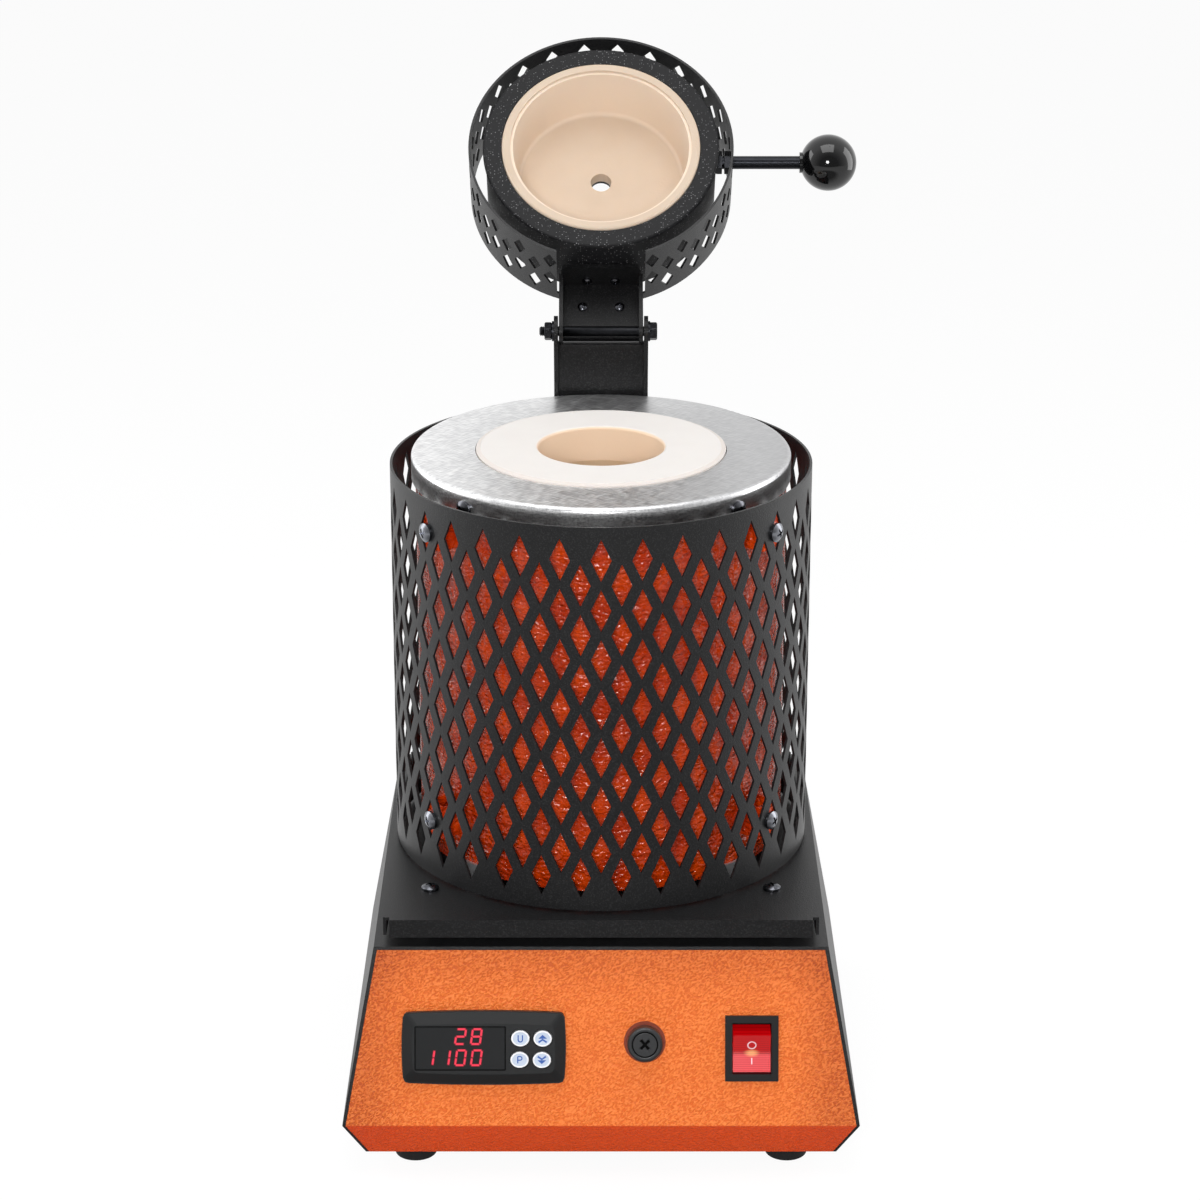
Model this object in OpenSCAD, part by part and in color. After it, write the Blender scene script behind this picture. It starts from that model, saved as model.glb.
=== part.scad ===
/* [Case] */
// Height of the rubber feet below the case
foot_h = 10; // [8:0.5:12]
// Radius of each foot
foot_r = 10; // [8:0.5:11]
// Height of the crease above the bottom edge of the case
crease_h = 18; // [14:1:22]
// Height of the case top above the crease
case_rise = 81.6; // [70:0.2:95]
// Half width of the case at the bottom edge
case_bottom_x = 111.4; // [106:0.2:116]
// Half width of the case at the crease, where it is widest
case_crease_x = 121.7; // [116:0.1:126]
// Half width of the case top
case_top_x = 106.6; // [104:0.1:112]
// Thickness of the case sheet
case_t = 1.5; // [1.2:0.1:2]

/* [Tray] */
// Side of the square tray
tray_w = 204; // [200:1:210]
// Height of the folded tray edge
tray_edge = 9; // [7:0.5:11]
// Height of the tray top above the floor
tray_top = 124; // [122:0.5:126]

/* [Shell] */
// Outer radius of the perforated shell
shell_r = 100.6; // [100:0.2:103]
// Thickness of the shell sheet
shell_t = 1.2; // [0.8:0.1:1.5]
// Height of the shell
shell_h = 189.8; // [189:0.2:191]
// Columns of diamonds on each side of the front column; a plain seam is left at the rear
shell_cols = 32; // [30:1:32]
// Angle from one column to the next
col_angle = 5.4; // [5.3:0.05:5.4]
// Diamonds in each column
shell_rows = 7; // [5:1:7]
// Distance from one diamond to the next down a column
diamond_pitch = 24.15; // [23:0.05:24.3]
// Width of a diamond
diamond_w = 9.6; // [7:0.2:10.4]
// Height of a diamond
diamond_h = 20.6; // [14:0.2:21]

/* [Furnace] */
// Outer radius of the drum
drum_r = 88.5; // [86:0.5:89]
// Height of the mouth of the chamber above the floor
deck_z = 322; // [320:0.5:324]
// Radius of the mouth in the ceramic ring
mouth_r = 30; // [24:1:32]
// Depth from the mouth to the chamber floor
chamber_depth = 140; // [120:5:145]

/* [Lid] */
// Angle of the lid from closed to its stop
lid_open = 137; // [110:1:137]
// Outer radius of the perforated band
band_r = 66.5; // [65:0.5:68]
// Radius of the face flange
flange_r = 59.3; // [58.8:0.1:60]
// Outer radius of the ceramic insert
insert_r = 49.8; // [48:0.1:50]
// Distance from the lid centre to the middle of the ball knob
knob_x = 114.7; // [108:0.5:120]
// Radius of the ball knob
knob_r = 14.2; // [12:0.2:15]

/* [Hidden] */
$fn = 96;

// Levels above the floor
crease_z = foot_h + crease_h;
case_top = crease_z + case_rise;
shell_z = tray_top + 1.4;
rim_z = shell_z + shell_h;

// Front and rear outline of the case, seen from the side
front_bottom = -122;
front_crease = -130;
front_top = -106;
rear_top = 97;
rear_crease = 110;
rear_bottom = 101;
panel_tilt = atan((front_top - front_crease) / case_rise);
rear_tilt = atan((rear_crease - rear_top) / case_rise);
sheet_gap = 0.1;
lip = 8;

// Places on the tray and under the case
tray_y = -5.5;
tray_screw_x = 81.3;
tray_screw_ys = [-72.8, 70];
foot_x = 88.6;
foot_front_y = -103.5;
foot_rear_y = 82;
bushing_r = 6;

// Radii of the fasteners
m3 = 1.5;
m4 = 2;
m5 = 2.5;

// Heights of the furnace pieces
drum_z = 130;
drum_t = 1;
cover_z = deck_z - 1.4;
cover_r = 90.5;
cover_t = 1;
cover_skirt = 12;
cover_edge_r = 2.4;
ring_r = 59.5;
ring_h = 17;
ring_bevel_w = 2.2;
ring_bevel_h = 0.8;
ring_z = deck_z + 0.05 - ring_h;
muffle_r = 40;
muffle_ri = 31;
muffle_floor = 12;
chamber_z = deck_z - chamber_depth;
muffle_z = chamber_z - muffle_floor;
sheath_r = 3;
lead_r = 1.25;
lead_x = 47.5;

// Heating coil
wire_r = 0.9;
coil_r = muffle_r + 0.5 + wire_r;
coil_turns = 12.5;
coil_pitch = 9;
coil_z = 187;
coil_rings = 24;

// Columns of the shell that carry a screw
first_row = 16;
screw_angle = 53.2;
screw_zs = [rim_z - first_row, rim_z - first_row - (shell_rows - 1) * diamond_pitch];
screw_angles = [-screw_angle, screw_angle, 24 * col_angle, -24 * col_angle];

// Hinge
axis_y = 90;
axis_z = 353;
ear_r = 7.6;
post_x = 23.4;
post_t = 2;
post_y = 94;
post_foot_z = 240;
post_screw_zs = [256, 292];
post_screw_x = 12;
lip_z = 346.5;
bolt_end = 30.6;
nut_r = 4.62;
arm_x = 20.9;
arm_web_z = 358;
arm_tab_y = 58.2;
arm_tab_x = 19.8;
arm_tab_z = 341;

// Lid, given in its closed place
lid_face = deck_z + 0.4;
flange_z = deck_z + 1.2;
casing_r = 58;
casing_t = 1.5;
casing_top = 364.5;
cup_r = 42.2;
cup_floor = 356;
vent_r = 5.3;
band_z = deck_z + 1;
band_top = 366;
band_t = 1.2;
band_cols = 24;
band_w = 7.2;
band_h = 11.8;
band_rows = [10, 17.6];
band_pitch = 15.3;
notch_x = 22;
notch_top = 361;
rod_r = 3.3;
rod_z = 337.8;
web_screw_x = 9.3;
web_screw_y = 73;
tab_screw_x = 7;
tab_screw_z = 353.5;
collar_r = 5.2;

// Places on the front panel: across, down the slope
controller_at = [-55, 47.3];
fuse_at = [20.5, 45];
switch_at = [70.7, 48];
bezel_w = 77;
bezel_d = 35;
bezel_base = 3.4;
bezel_face = 6.3;
window_at = [-10.9, 0.3];
window_w = 42.2;
window_d = 20.4;
key_w = 8.9;
key_d = 7.8;
key_gap = 0.35;
key_top = 7;
digit_w = 4.2;
digit_h = 7;
digit_step = 7.4;
digit_lean = 8;
digit_right = 1.5;
digit_lows = [2.4, -7.6];
bar_w = 0.9;
switch_w = 25;
switch_d = 31;
rocker_w = 17.6;
rocker_tilt = 10;
pivot_h = -9;
washer_r = 9.75;
fuse_cap_r = 8.3;

// Place of the cord gland on the rear panel
gland_at = [60, 52];
gland_r = 4;

// General shapes

module tube(ro, ri, h) {
  difference() {
    cylinder(r = ro, h = h);
    translate([0, 0, -1]) cylinder(r = ri, h = h + 2);
  }
}

module box(x0, x1, y0, y1, z0, z1) {
  translate([x0, y0, z0]) cube([x1 - x0, y1 - y0, z1 - z0]);
}

// A rod along +Y from the plane y = from to y = to
module rod_y(r, from, to) {
  translate([0, from, 0]) rotate([-90, 0, 0]) cylinder(r = r, h = to - from);
}

module rod_x(r, from, to) {
  translate([from, 0, 0]) rotate([0, 90, 0]) cylinder(r = r, h = to - from);
}

// A domed screw head on z = 0 with a cross recess, and its shank below
module pan_screw(head_r, head_h, shank_r, shank_l) {
  dome_r = (head_r * head_r * 1.6 + head_h * head_h) / (2 * head_h);
  difference() {
    intersection() {
      cylinder(r = head_r, h = head_h, $fn = 32);
      translate([0, 0, head_h - dome_r]) sphere(r = dome_r, $fn = 64);
    }
    for (a = [0, 90]) {
      rotate([0, 0, a + 20]) translate([-head_r * 0.5, -head_r * 0.11, head_h * 0.45])
        cube([head_r, head_r * 0.22, head_h]);
    }
  }
  translate([0, 0, -shank_l]) cylinder(r = shank_r, h = shank_l, $fn = 32);
}

// Turns a child that points up +Z so that it points outwards at an angle from the front
module outward(angle, r, z) {
  rotate([0, 0, angle]) translate([0, -r, z]) rotate([90, 0, 0]) children();
}

module diamond(w, h) {
  polygon([[w / 2, 0], [0, h / 2], [-w / 2, 0], [0, -h / 2]]);
}

// A diamond prism that cuts a thin wall at one angle and height
module diamond_cut(angle, r, z, w, h) {
  outward(angle, r - 4, z) linear_extrude(8) diamond(w, h);
}

// Local frames: X across, Y up the slope, Z out of the panel
module on_panel(at, h = 0) {
  translate([0, front_top, case_top]) rotate([90 - panel_tilt, 0, 0])
    translate([at[0], -at[1], h]) children();
}

module on_rear(at, h = 0) {
  translate([0, rear_top, case_top]) rotate([rear_tilt - 90, 0, 0])
    translate([at[0], at[1], h]) children();
}

// Turns the lid from its closed place to its stop
module opened() {
  translate([0, axis_y, axis_z]) rotate([-lid_open, 0, 0]) translate([0, -axis_y, -axis_z]) children();
}

// Case

// The case as a solid, drawn in by an inset on every side and at the top
module case_solid(inset) {
  z0 = foot_h - (inset > 0 ? 1 : 0);
  slope = (front_crease - front_bottom) / crease_h;
  sx = (case_crease_x - case_bottom_x) / crease_h;
  dz = z0 - foot_h;
  intersection() {
    rotate([90, 0, 90]) translate([0, 0, -200]) linear_extrude(400) polygon([
      [front_bottom + inset + slope * dz, z0],
      [front_crease + inset, crease_z],
      [front_top + inset, case_top - inset],
      [rear_top - inset, case_top - inset],
      [rear_crease - inset, crease_z],
      [rear_bottom - inset - slope * dz, z0]
    ]);
    rotate([90, 0, 0]) translate([0, 0, -200]) linear_extrude(400) polygon([
      [-case_bottom_x + inset - sx * dz, z0],
      [-case_crease_x + inset, crease_z],
      [-case_top_x + inset, case_top - inset],
      [case_top_x - inset, case_top - inset],
      [case_crease_x - inset, crease_z],
      [case_bottom_x - inset + sx * dz, z0]
    ]);
  }
}

module case_wall() {
  difference() {
    case_solid(0);
    case_solid(case_t);
  }
}

// A screw place in the middle of each lip under the case
module lip_places() {
  for (x = [-60, 0, 60]) {
    translate([x, front_bottom + 6, 0]) children();
    translate([x, rear_bottom - 5, 0]) children();
  }
  for (x = [-1, 1], y = [-60, -10, 40]) translate([x * (case_bottom_x - 5), y, 0]) children();
}

// Space between the sides and below the top, at an inset from their outside, open to front and rear
module between_sides(inset) {
  sx = (case_crease_x - case_bottom_x) / crease_h;
  rotate([90, 0, 0]) translate([0, 0, -200]) linear_extrude(400) polygon([
    [-case_bottom_x + inset + sx, foot_h - 1],
    [-case_crease_x + inset, crease_z],
    [-case_top_x + inset, case_top - inset],
    [case_top_x - inset, case_top - inset],
    [case_crease_x - inset, crease_z],
    [case_bottom_x - inset - sx, foot_h - 1]
  ]);
}

module panel_sheet(y0, y1) {
  intersection() {
    case_wall();
    between_sides(case_t + sheet_gap);
    box(-150, 150, y0, y1, 0, case_top);
  }
}

module front_panel() {
  color("orangered") difference() {
    union() {
      panel_sheet(-150, -90);
      box(-104, 104, front_bottom + 1, front_bottom + lip, foot_h, foot_h + case_t);
    }
    lip_places() cylinder(r = m3 + 0.1, h = 30, $fn = 32);
    on_panel(controller_at) cube([71, 29, 12], center = true);
    on_panel(switch_at) cube([22.2, 28.2, 12], center = true);
    on_panel(fuse_at, -6) cylinder(r = 6.1, h = 12);
  }
}

module rear_panel() {
  color("dimgray") difference() {
    union() {
      panel_sheet(80, 150);
      box(-104, 104, rear_bottom - lip, rear_bottom - 1, foot_h, foot_h + case_t);
    }
    lip_places() cylinder(r = m3 + 0.1, h = 30, $fn = 32);
    on_rear(gland_at, -6) cylinder(r = 7.1, h = 12);
    for (i = [0 : 9]) on_rear([-70 + 7 * i, 40]) cube([3, 34, 12], center = true);
  }
}

module case_cover() {
  color("dimgray") difference() {
    union() {
      difference() {
        case_wall();
        between_sides(case_t);
      }
      for (s = [-1, 1]) scale([s, 1, 1])
        box(case_bottom_x - lip, case_bottom_x - 1, -108, 88, foot_h, foot_h + case_t);
    }
    lip_places() cylinder(r = m3 + 0.1, h = 30, $fn = 32);
    tray_places() translate([0, 0, 90]) cylinder(r = m4 + 0.1, h = 30, $fn = 32);
    lead_hole_places() translate([0, 0, 90]) cylinder(r = bushing_r + 0.1, h = 30);
  }
}

module base_plate() {
  color("dimgray") difference() {
    box(-109, 109, -118.6, 98.6, foot_h + case_t, foot_h + 2 * case_t);
    lip_places() cylinder(r = m3 + 0.1, h = 30, $fn = 32);
    foot_places() cylinder(r = m4 + 0.1, h = 30, $fn = 32);
  }
}

module case_screws() {
  color("silver") lip_places() translate([0, 0, foot_h]) mirror([0, 0, 1]) pan_screw(2.8, 1.8, m3, 5.5);
}

module foot_places() {
  for (x = [-foot_x, foot_x], y = [foot_front_y, foot_rear_y]) translate([x, y, 0]) children();
}

module feet() {
  color("black") foot_places() difference() {
    rotate_extrude() {
      difference() {
        square([foot_r, foot_h + case_t]);
        translate([foot_r - 1, 0]) square([1, 1]);
      }
      translate([foot_r - 1, 1]) circle(r = 1, $fn = 32);
    }
    translate([0, 0, -1]) cylinder(r = 4.5, h = 6);
    cylinder(r = m4 + 0.1, h = 30, $fn = 32);
  }
}

module foot_screws() {
  color("silver") foot_places() translate([0, 0, 5]) mirror([0, 0, 1]) pan_screw(4, 2.4, m4, 10);
}

// Tray and what stands between it and the case

module tray_places() {
  for (x = [-tray_screw_x, tray_screw_x], y = tray_screw_ys) translate([x, y, 0]) children();
}

module tray() {
  half = tray_w / 2;
  notch = 3;
  color("dimgray") difference() {
    box(-half, half, tray_y - half, tray_y + half, tray_top - tray_edge, tray_top);
    box(-half + case_t, half - case_t, tray_y - half + case_t, tray_y + half - case_t, 0, tray_top - case_t);
    for (x = [-1, 1], y = [-1, 1]) translate([x * half, tray_y + y * half, tray_top - 20])
      cube([2 * notch, 2 * notch, 60], center = true);
    tray_places() cylinder(r = m4 + 0.1, h = 150, $fn = 32);
    lead_hole_places() cylinder(r = bushing_r + 0.1, h = 150);
  }
}

module tray_spacers() {
  color("silver") tray_places() translate([0, 0, case_top])
    tube(6, m4 + 0.1, tray_top - case_t - case_top);
}

module tray_screws() {
  color("dimgray") tray_places() translate([0, 0, tray_top]) pan_screw(4.2, 2.8, m4, 22);
}

module lead_hole_places() {
  for (x = [-lead_x, 0, lead_x]) translate([x, 0, 0]) children();
}

module lead_bushings() {
  color("linen") lead_hole_places() translate([0, 0, case_top - case_t - 3])
    tube(bushing_r, sheath_r + 0.5, tray_top - case_top + 3.5);
}

// Drum and shell

module drum_foot_places() {
  for (a = [-43, 43, 137, 223]) rotate([0, 0, a]) children();
}

module drum() {
  color("orangered") difference() {
    translate([0, 0, drum_z]) cylinder(r = drum_r, h = cover_z - cover_t - 0.4 - drum_z);
    translate([0, 0, drum_z + drum_t]) cylinder(r = drum_r - drum_t, h = 300);
    cylinder(r = sheath_r + 0.1, h = 200);
    for (x = [-lead_x, lead_x]) translate([x, 0, 0]) cylinder(r = 3, h = 150);
    post_places() rod_y(m4 + 0.1, 80, 100);
    cover_screw_places() translate([0, 0, -12]) cylinder(r = m4 + 0.1, h = 14, $fn = 32);
  }
}

// Angle feet that hold the drum above the tray
module drum_feet() {
  color("silver") drum_foot_places() difference() {
    union() {
      intersection() {
        translate([0, 0, tray_top]) tube(drum_r + 1.6, drum_r + 0.1, 10);
        box(-6, 6, -100, -70, tray_top, tray_top + 10);
      }
      box(-6, 6, -drum_r - 0.2, -74, tray_top, tray_top + 1.5);
      box(-6, 6, -drum_r + 1, -80, tray_top + 1.5, drum_z);
    }
  }
}

module shell() {
  color("dimgray") difference() {
    translate([0, 0, shell_z]) tube(shell_r, shell_r - shell_t, shell_h);
    for (c = [-shell_cols : shell_cols], r = [0 : shell_rows - 1])
      diamond_cut(c * col_angle, shell_r, rim_z - first_row - (r + (abs(c) % 2) / 2) * diamond_pitch,
        diamond_w, diamond_h);
  }
}

module shell_brackets() {
  color("orangered") for (a = screw_angles, z = screw_zs) difference() {
    intersection() {
      translate([0, 0, z - 8]) tube(shell_r - shell_t - 0.1, drum_r + 0.1, 16);
      rotate([0, 0, a]) box(-7, 7, -110, -80, z - 8, z + 8);
    }
    rotate([0, 0, a]) box(-5.5, 5.5, -shell_r + shell_t + 1.8, -70, z - 9, z + 9);
    outward(a, 90, z) cylinder(r = m4 + 0.1, h = 20, $fn = 32);
  }
}

module shell_screws() {
  color("dimgray") for (a = screw_angles, z = screw_zs)
    outward(a, shell_r + 0.05, z) pan_screw(4.5, 3, m4, 8);
}

// Top of the furnace

module cover_screw_places() {
  for (a = [-44, 44, 136, 224]) outward(a, cover_r, cover_z - 8.6) children();
}

module top_cover() {
  inner_r = cover_edge_r - cover_t;
  color("silver") difference() {
    rotate_extrude() difference() {
      union() {
        translate([0, cover_z - cover_skirt]) square([cover_r, cover_skirt - cover_edge_r]);
        square_from(0, cover_r - cover_edge_r, cover_z - cover_skirt, cover_z);
        translate([cover_r - cover_edge_r, cover_z - cover_edge_r]) circle(r = cover_edge_r, $fn = 64);
      }
      square_from(-1, cover_r - cover_t, cover_z - 30, cover_z - cover_edge_r);
      square_from(-1, cover_r - cover_edge_r, cover_z - 30, cover_z - cover_t);
      translate([cover_r - cover_edge_r, cover_z - cover_edge_r]) circle(r = inner_r, $fn = 64);
      square_from(-1, ring_r + 0.4, cover_z - 30, cover_z + 5);
    }
    cover_screw_places() translate([0, 0, -5]) cylinder(r = m4 + 0.1, h = 8, $fn = 32);
  }
}

module square_from(x0, x1, y0, y1) {
  translate([x0, y0]) square([x1 - x0, y1 - y0]);
}

module cover_screws() {
  color("dimgray") cover_screw_places() translate([0, 0, 0.05]) pan_screw(4.2, 2.8, m4, 2.8);
}

module top_ring() {
  edge = 1.5;
  top = ring_z + ring_h;
  color("mistyrose") rotate_extrude() difference() {
    square_from(mouth_r, ring_r, ring_z, top);
    difference() {
      square_from(mouth_r - 1, mouth_r + edge, top - edge, top + 1);
      translate([mouth_r + edge, top - edge]) circle(r = edge, $fn = 32);
    }
    polygon([[ring_r - ring_bevel_w, top + 1], [ring_r - ring_bevel_w, top], [ring_r, top - ring_bevel_h],
      [ring_r + 1, top - ring_bevel_h], [ring_r + 1, top + 1]]);
  }
}

module muffle() {
  color("wheat") difference() {
    translate([0, 0, muffle_z]) cylinder(r = muffle_r, h = ring_z - 0.2 - muffle_z);
    translate([0, 0, chamber_z]) cylinder(r = muffle_ri, h = 200);
    cylinder(r = sheath_r + 0.1, h = chamber_z - 3);
  }
}

// Rings of points along a path, joined to one closed tube
function unit(v) = v / norm(v);

function ring_points(path, i, r, sides) = let (
    last = len(path) - 1,
    t = unit(path[min(i + 1, last)] - path[max(i - 1, 0)]),
    side = unit(cross(t, [0, 0, 1])),
    up = cross(side, t)
  ) [for (k = [0 : sides - 1]) path[i] + r * (cos(360 * k / sides) * side + sin(360 * k / sides) * up)];

module swept_tube(path, r, sides) {
  n = len(path);
  points = [for (i = [0 : n - 1]) each ring_points(path, i, r, sides)];
  walls = [for (i = [0 : n - 2], k = [0 : sides - 1]) let (
      a = i * sides + k,
      b = i * sides + (k + 1) % sides
    ) each [[a, b, a + sides], [b, b + sides, a + sides]]];
  first_end = [for (k = [1 : sides - 2]) [0, k + 1, k]];
  z = (n - 1) * sides;
  last_end = [for (k = [1 : sides - 2]) [z, z + k, z + k + 1]];
  polyhedron(points = points, faces = concat(walls, first_end, last_end));
}

// The helix of the coil, with a short straight run at each end
function coil_point(t) = [coil_r * cos(360 * t), coil_r * sin(360 * t), coil_z + coil_pitch * t];

coil_steps = coil_turns * coil_rings;
coil_body = [for (i = [0 : coil_steps]) coil_point(i / coil_rings)];
coil_run = [0, 2 * PI * coil_r, coil_pitch];
coil_dir = coil_run / norm(coil_run);
coil_path = concat([coil_body[0] - 2 * wire_r * coil_dir], coil_body, [coil_body[coil_steps] + 2 * wire_r * coil_dir]);
coil_gap = min([for (i = [0 : coil_rings : len(coil_path) - 1], j = [i + 12 : len(coil_path) - 1])
  norm(coil_path[i] - coil_path[j])]) - 2 * wire_r;
echo(least_gap_of_the_coil_in_mm = coil_gap);

module heating_coil() {
  color("sienna") swept_tube(coil_path, wire_r, 6);
}

// The upright and the short level run of each lead, which meets an end of the coil
module lead_shape(x, top, r) {
  run = abs(x) - coil_r - wire_r;
  translate([x, 0, case_top - 12]) cylinder(r = r, h = top - case_top + 12, $fn = 32);
  translate([x, 0, top]) sphere(r = r, $fn = 32);
  translate([x, 0, top]) rotate([0, x > 0 ? -90 : 90, 0]) cylinder(r = r, h = run - 0.05, $fn = 32);
}

module lead_pair(r) {
  lead_shape(lead_x, coil_z, r);
  lead_shape(-lead_x, coil_z + coil_turns * coil_pitch, r);
}

module element_leads() {
  color("silver") lead_pair(lead_r);
}

module insulation_blanket() {
  color("white") difference() {
    rotate_extrude() difference() {
      square_from(muffle_r + 3, drum_r - drum_t - 0.2, drum_z + drum_t + 0.2, cover_z - cover_t - 0.4);
      square_from(0, ring_r + 0.4, ring_z - 0.2, deck_z);
    }
    lead_pair(lead_r + 0.2);
  }
}

module insulation_floor() {
  color("white") difference() {
    translate([0, 0, drum_z + drum_t + 0.2]) cylinder(r = muffle_r + 2.8, h = muffle_z - drum_z - drum_t - 0.4);
    cylinder(r = sheath_r + 0.1, h = 250);
  }
}

module thermocouple() {
  color("silver") {
    translate([0, 0, case_top - 8]) cylinder(r = sheath_r, h = chamber_z + 4.8 - case_top);
    translate([0, 0, drum_z - 4.2]) cylinder(r = 5.5, h = 4, $fn = 6);
  }
}

// Hinge post at the rear

module post_places() {
  for (x = [-1, 1], z = post_screw_zs) translate([x * post_screw_x, 0, z]) children();
}

// Outline of one ear and flange, seen along X
module ear_outline() {
  square_from(89, post_y + post_t, post_foot_z, axis_z);
  translate([axis_y, axis_z]) circle(r = ear_r);
  polygon([[89, axis_z - 24], [axis_y - ear_r, axis_z - 6], [axis_y - ear_r, axis_z], [axis_y + 5, axis_z],
    [axis_y + 5, axis_z - 24]]);
}

module hinge_post() {
  color("dimgray") difference() {
    union() {
      for (x = [-post_x, post_x - post_t]) translate([x, 0, 0])
        rotate([90, 0, 90]) linear_extrude(post_t) ear_outline();
      box(-post_x, post_x, post_y, post_y + post_t, post_foot_z, lip_z);
      box(-20, 20, 88.5, post_y + post_t, lip_z - post_t, lip_z);
    }
    translate([0, axis_y, axis_z]) rod_x(m5 + 0.1, -40, 40);
    post_places() rod_y(m4 + 0.1, 80, 110);
  }
}

module post_spacers() {
  color("silver") difference() {
    post_places() difference() {
      rod_y(4, 84, post_y - 0.02);
      rod_y(m4 + 0.1, 70, 110);
    }
    translate([0, 0, 200]) cylinder(r = drum_r + 0.05, h = 150);
  }
}

module post_screws() {
  color("dimgray") post_places() translate([0, post_y + post_t, 0]) rotate([-90, 0, 0])
    pan_screw(3.6, 2, m4, post_y + post_t - 86.9);
}

module hinge_bolt() {
  color("dimgray") translate([0, axis_y, axis_z]) {
    rod_x(m5, -bolt_end, post_x + 1);
    rotate([0, 90, 0]) translate([0, 0, post_x + 1]) cylinder(r = nut_r, h = 3.5, $fn = 6);
  }
}

module hinge_nut() {
  color("silver") translate([-post_x - 1, axis_y, axis_z]) rotate([0, -90, 0]) difference() {
    cylinder(r = nut_r, h = 3.7, $fn = 6);
    translate([0, 0, -1]) cylinder(r = m5 + 0.02, h = 8);
  }
}

module hinge_washers() {
  color("silver") translate([0, axis_y, axis_z]) for (x = [-post_x - 1, post_x])
    translate([x, 0, 0]) rotate([0, 90, 0]) tube(5, m5 + 0.1, 1);
}

// Lid

// Outline of an arm flange, seen along X: round the pin, with a heel that meets the lip
module arm_outline() {
  square_from(arm_tab_y + 2, axis_y, axis_z - 6.2, arm_web_z + 2);
  square_from(axis_y - 1, axis_y + 1.6, axis_z, arm_web_z + 2);
  translate([axis_y, axis_z]) circle(r = 6.2);
}

// Outline of the tab that is screwed to the casing, seen along Y
module tab_outline() {
  corner = 3;
  square_from(-arm_tab_x, arm_tab_x, arm_tab_z + corner, arm_web_z + 2);
  square_from(-arm_tab_x + corner, arm_tab_x - corner, arm_tab_z, arm_tab_z + corner + 1);
  for (x = [-arm_tab_x + corner, arm_tab_x - corner]) translate([x, arm_tab_z + corner]) circle(r = corner);
}

module lid_arm() {
  color("dimgray") opened() difference() {
    union() {
      for (x = [-arm_x, arm_x - 2]) translate([x, 0, 0]) rotate([90, 0, 90]) linear_extrude(2) arm_outline();
      box(-arm_x, arm_x, arm_tab_y + 2, axis_y + 1.6, arm_web_z, arm_web_z + 2);
      translate([0, arm_tab_y + 2, 0]) rotate([90, 0, 0]) linear_extrude(2) tab_outline();
    }
    translate([0, axis_y, axis_z]) rod_x(m5 + 0.05, -40, 40);
    for (x = [-web_screw_x, web_screw_x]) translate([x, web_screw_y, 340]) cylinder(r = m3 + 0.1, h = 30, $fn = 32);
    for (x = [-tab_screw_x, tab_screw_x]) translate([x, 0, tab_screw_z]) rod_y(m3 + 0.1, 50, 66);
  }
}

module arm_screws() {
  color("silver") opened() {
    for (x = [-web_screw_x, web_screw_x])
      translate([x, web_screw_y, arm_web_z]) mirror([0, 0, 1]) pan_screw(2.4, 1.8, m3, 5);
    for (x = [-tab_screw_x, tab_screw_x])
      translate([x, arm_tab_y + 2, tab_screw_z]) rotate([-90, 0, 0]) pan_screw(2.4, 1.8, m3, 4.5);
  }
}

module lid_casing() {
  edge = 1.2;
  color("dimgray") opened() difference() {
    rotate_extrude() {
      square_from(insert_r + 0.3, flange_r - edge, flange_z, flange_z + 2);
      square_from(insert_r + 0.3, flange_r, flange_z + edge, flange_z + 2);
      translate([flange_r - edge, flange_z + edge]) circle(r = edge, $fn = 32);
      square_from(casing_r - casing_t, casing_r, flange_z + 1, casing_top);
      square_from(vent_r, casing_r, casing_top - casing_t, casing_top);
    }
    for (x = [-tab_screw_x, tab_screw_x]) translate([x, 0, tab_screw_z]) rod_y(m3 + 0.1, 50, 66);
    translate([0, 0, rod_z]) rod_x(rod_r + 0.05, 50, 70);
  }
}

module lid_insulation() {
  color("white") opened() translate([0, 0, flange_z + 2.2])
    tube(casing_r - casing_t - 0.8, insert_r + 0.3, casing_top - casing_t - 0.4 - flange_z - 2.2);
}

// A cup whose wall widens to the face, with a small step below its rim and a fillet round its floor
module lid_insert() {
  edge = 1.4;
  step_r = cup_r + 3.4;
  step_h = 1.6;
  fillet = 2.5;
  color("wheat") opened() rotate_extrude() difference() {
    square_from(vent_r, insert_r, lid_face, casing_top - casing_t - 0.2);
    difference() {
      polygon([[0, lid_face - 1], [step_r - 1.2, lid_face - 1], [step_r - 1.4, lid_face + step_h],
        [cup_r, cup_floor - fillet], [cup_r, cup_floor], [0, cup_floor]]);
      difference() {
        square_from(cup_r - fillet, cup_r + 1, cup_floor - fillet, cup_floor + 1);
        translate([cup_r - fillet, cup_floor - fillet]) circle(r = fillet, $fn = 32);
      }
    }
    square_from(0, step_r, lid_face - 1, lid_face + step_h);
    difference() {
      square_from(insert_r - edge, insert_r + 1, lid_face - 1, lid_face + edge);
      translate([insert_r - edge, lid_face + edge]) circle(r = edge, $fn = 32);
    }
  }
}

module lid_band() {
  color("dimgray") opened() difference() {
    translate([0, 0, band_z]) tube(band_r, band_r - band_t, band_top - band_z);
    for (c = [0 : 2 * band_cols - 1], r = [0, 1]) if (!(c == 12 && r == 0))
      diamond_cut(c * 180 / band_cols, band_r, band_z + band_rows[(c + 1) % 2] + r * band_pitch, band_w, band_h);
    box(-notch_x, notch_x, 40, 80, band_z - 1, notch_top);
    translate([0, 0, rod_z]) rod_x(rod_r + 0.1, 50, 90);
  }
}

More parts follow.
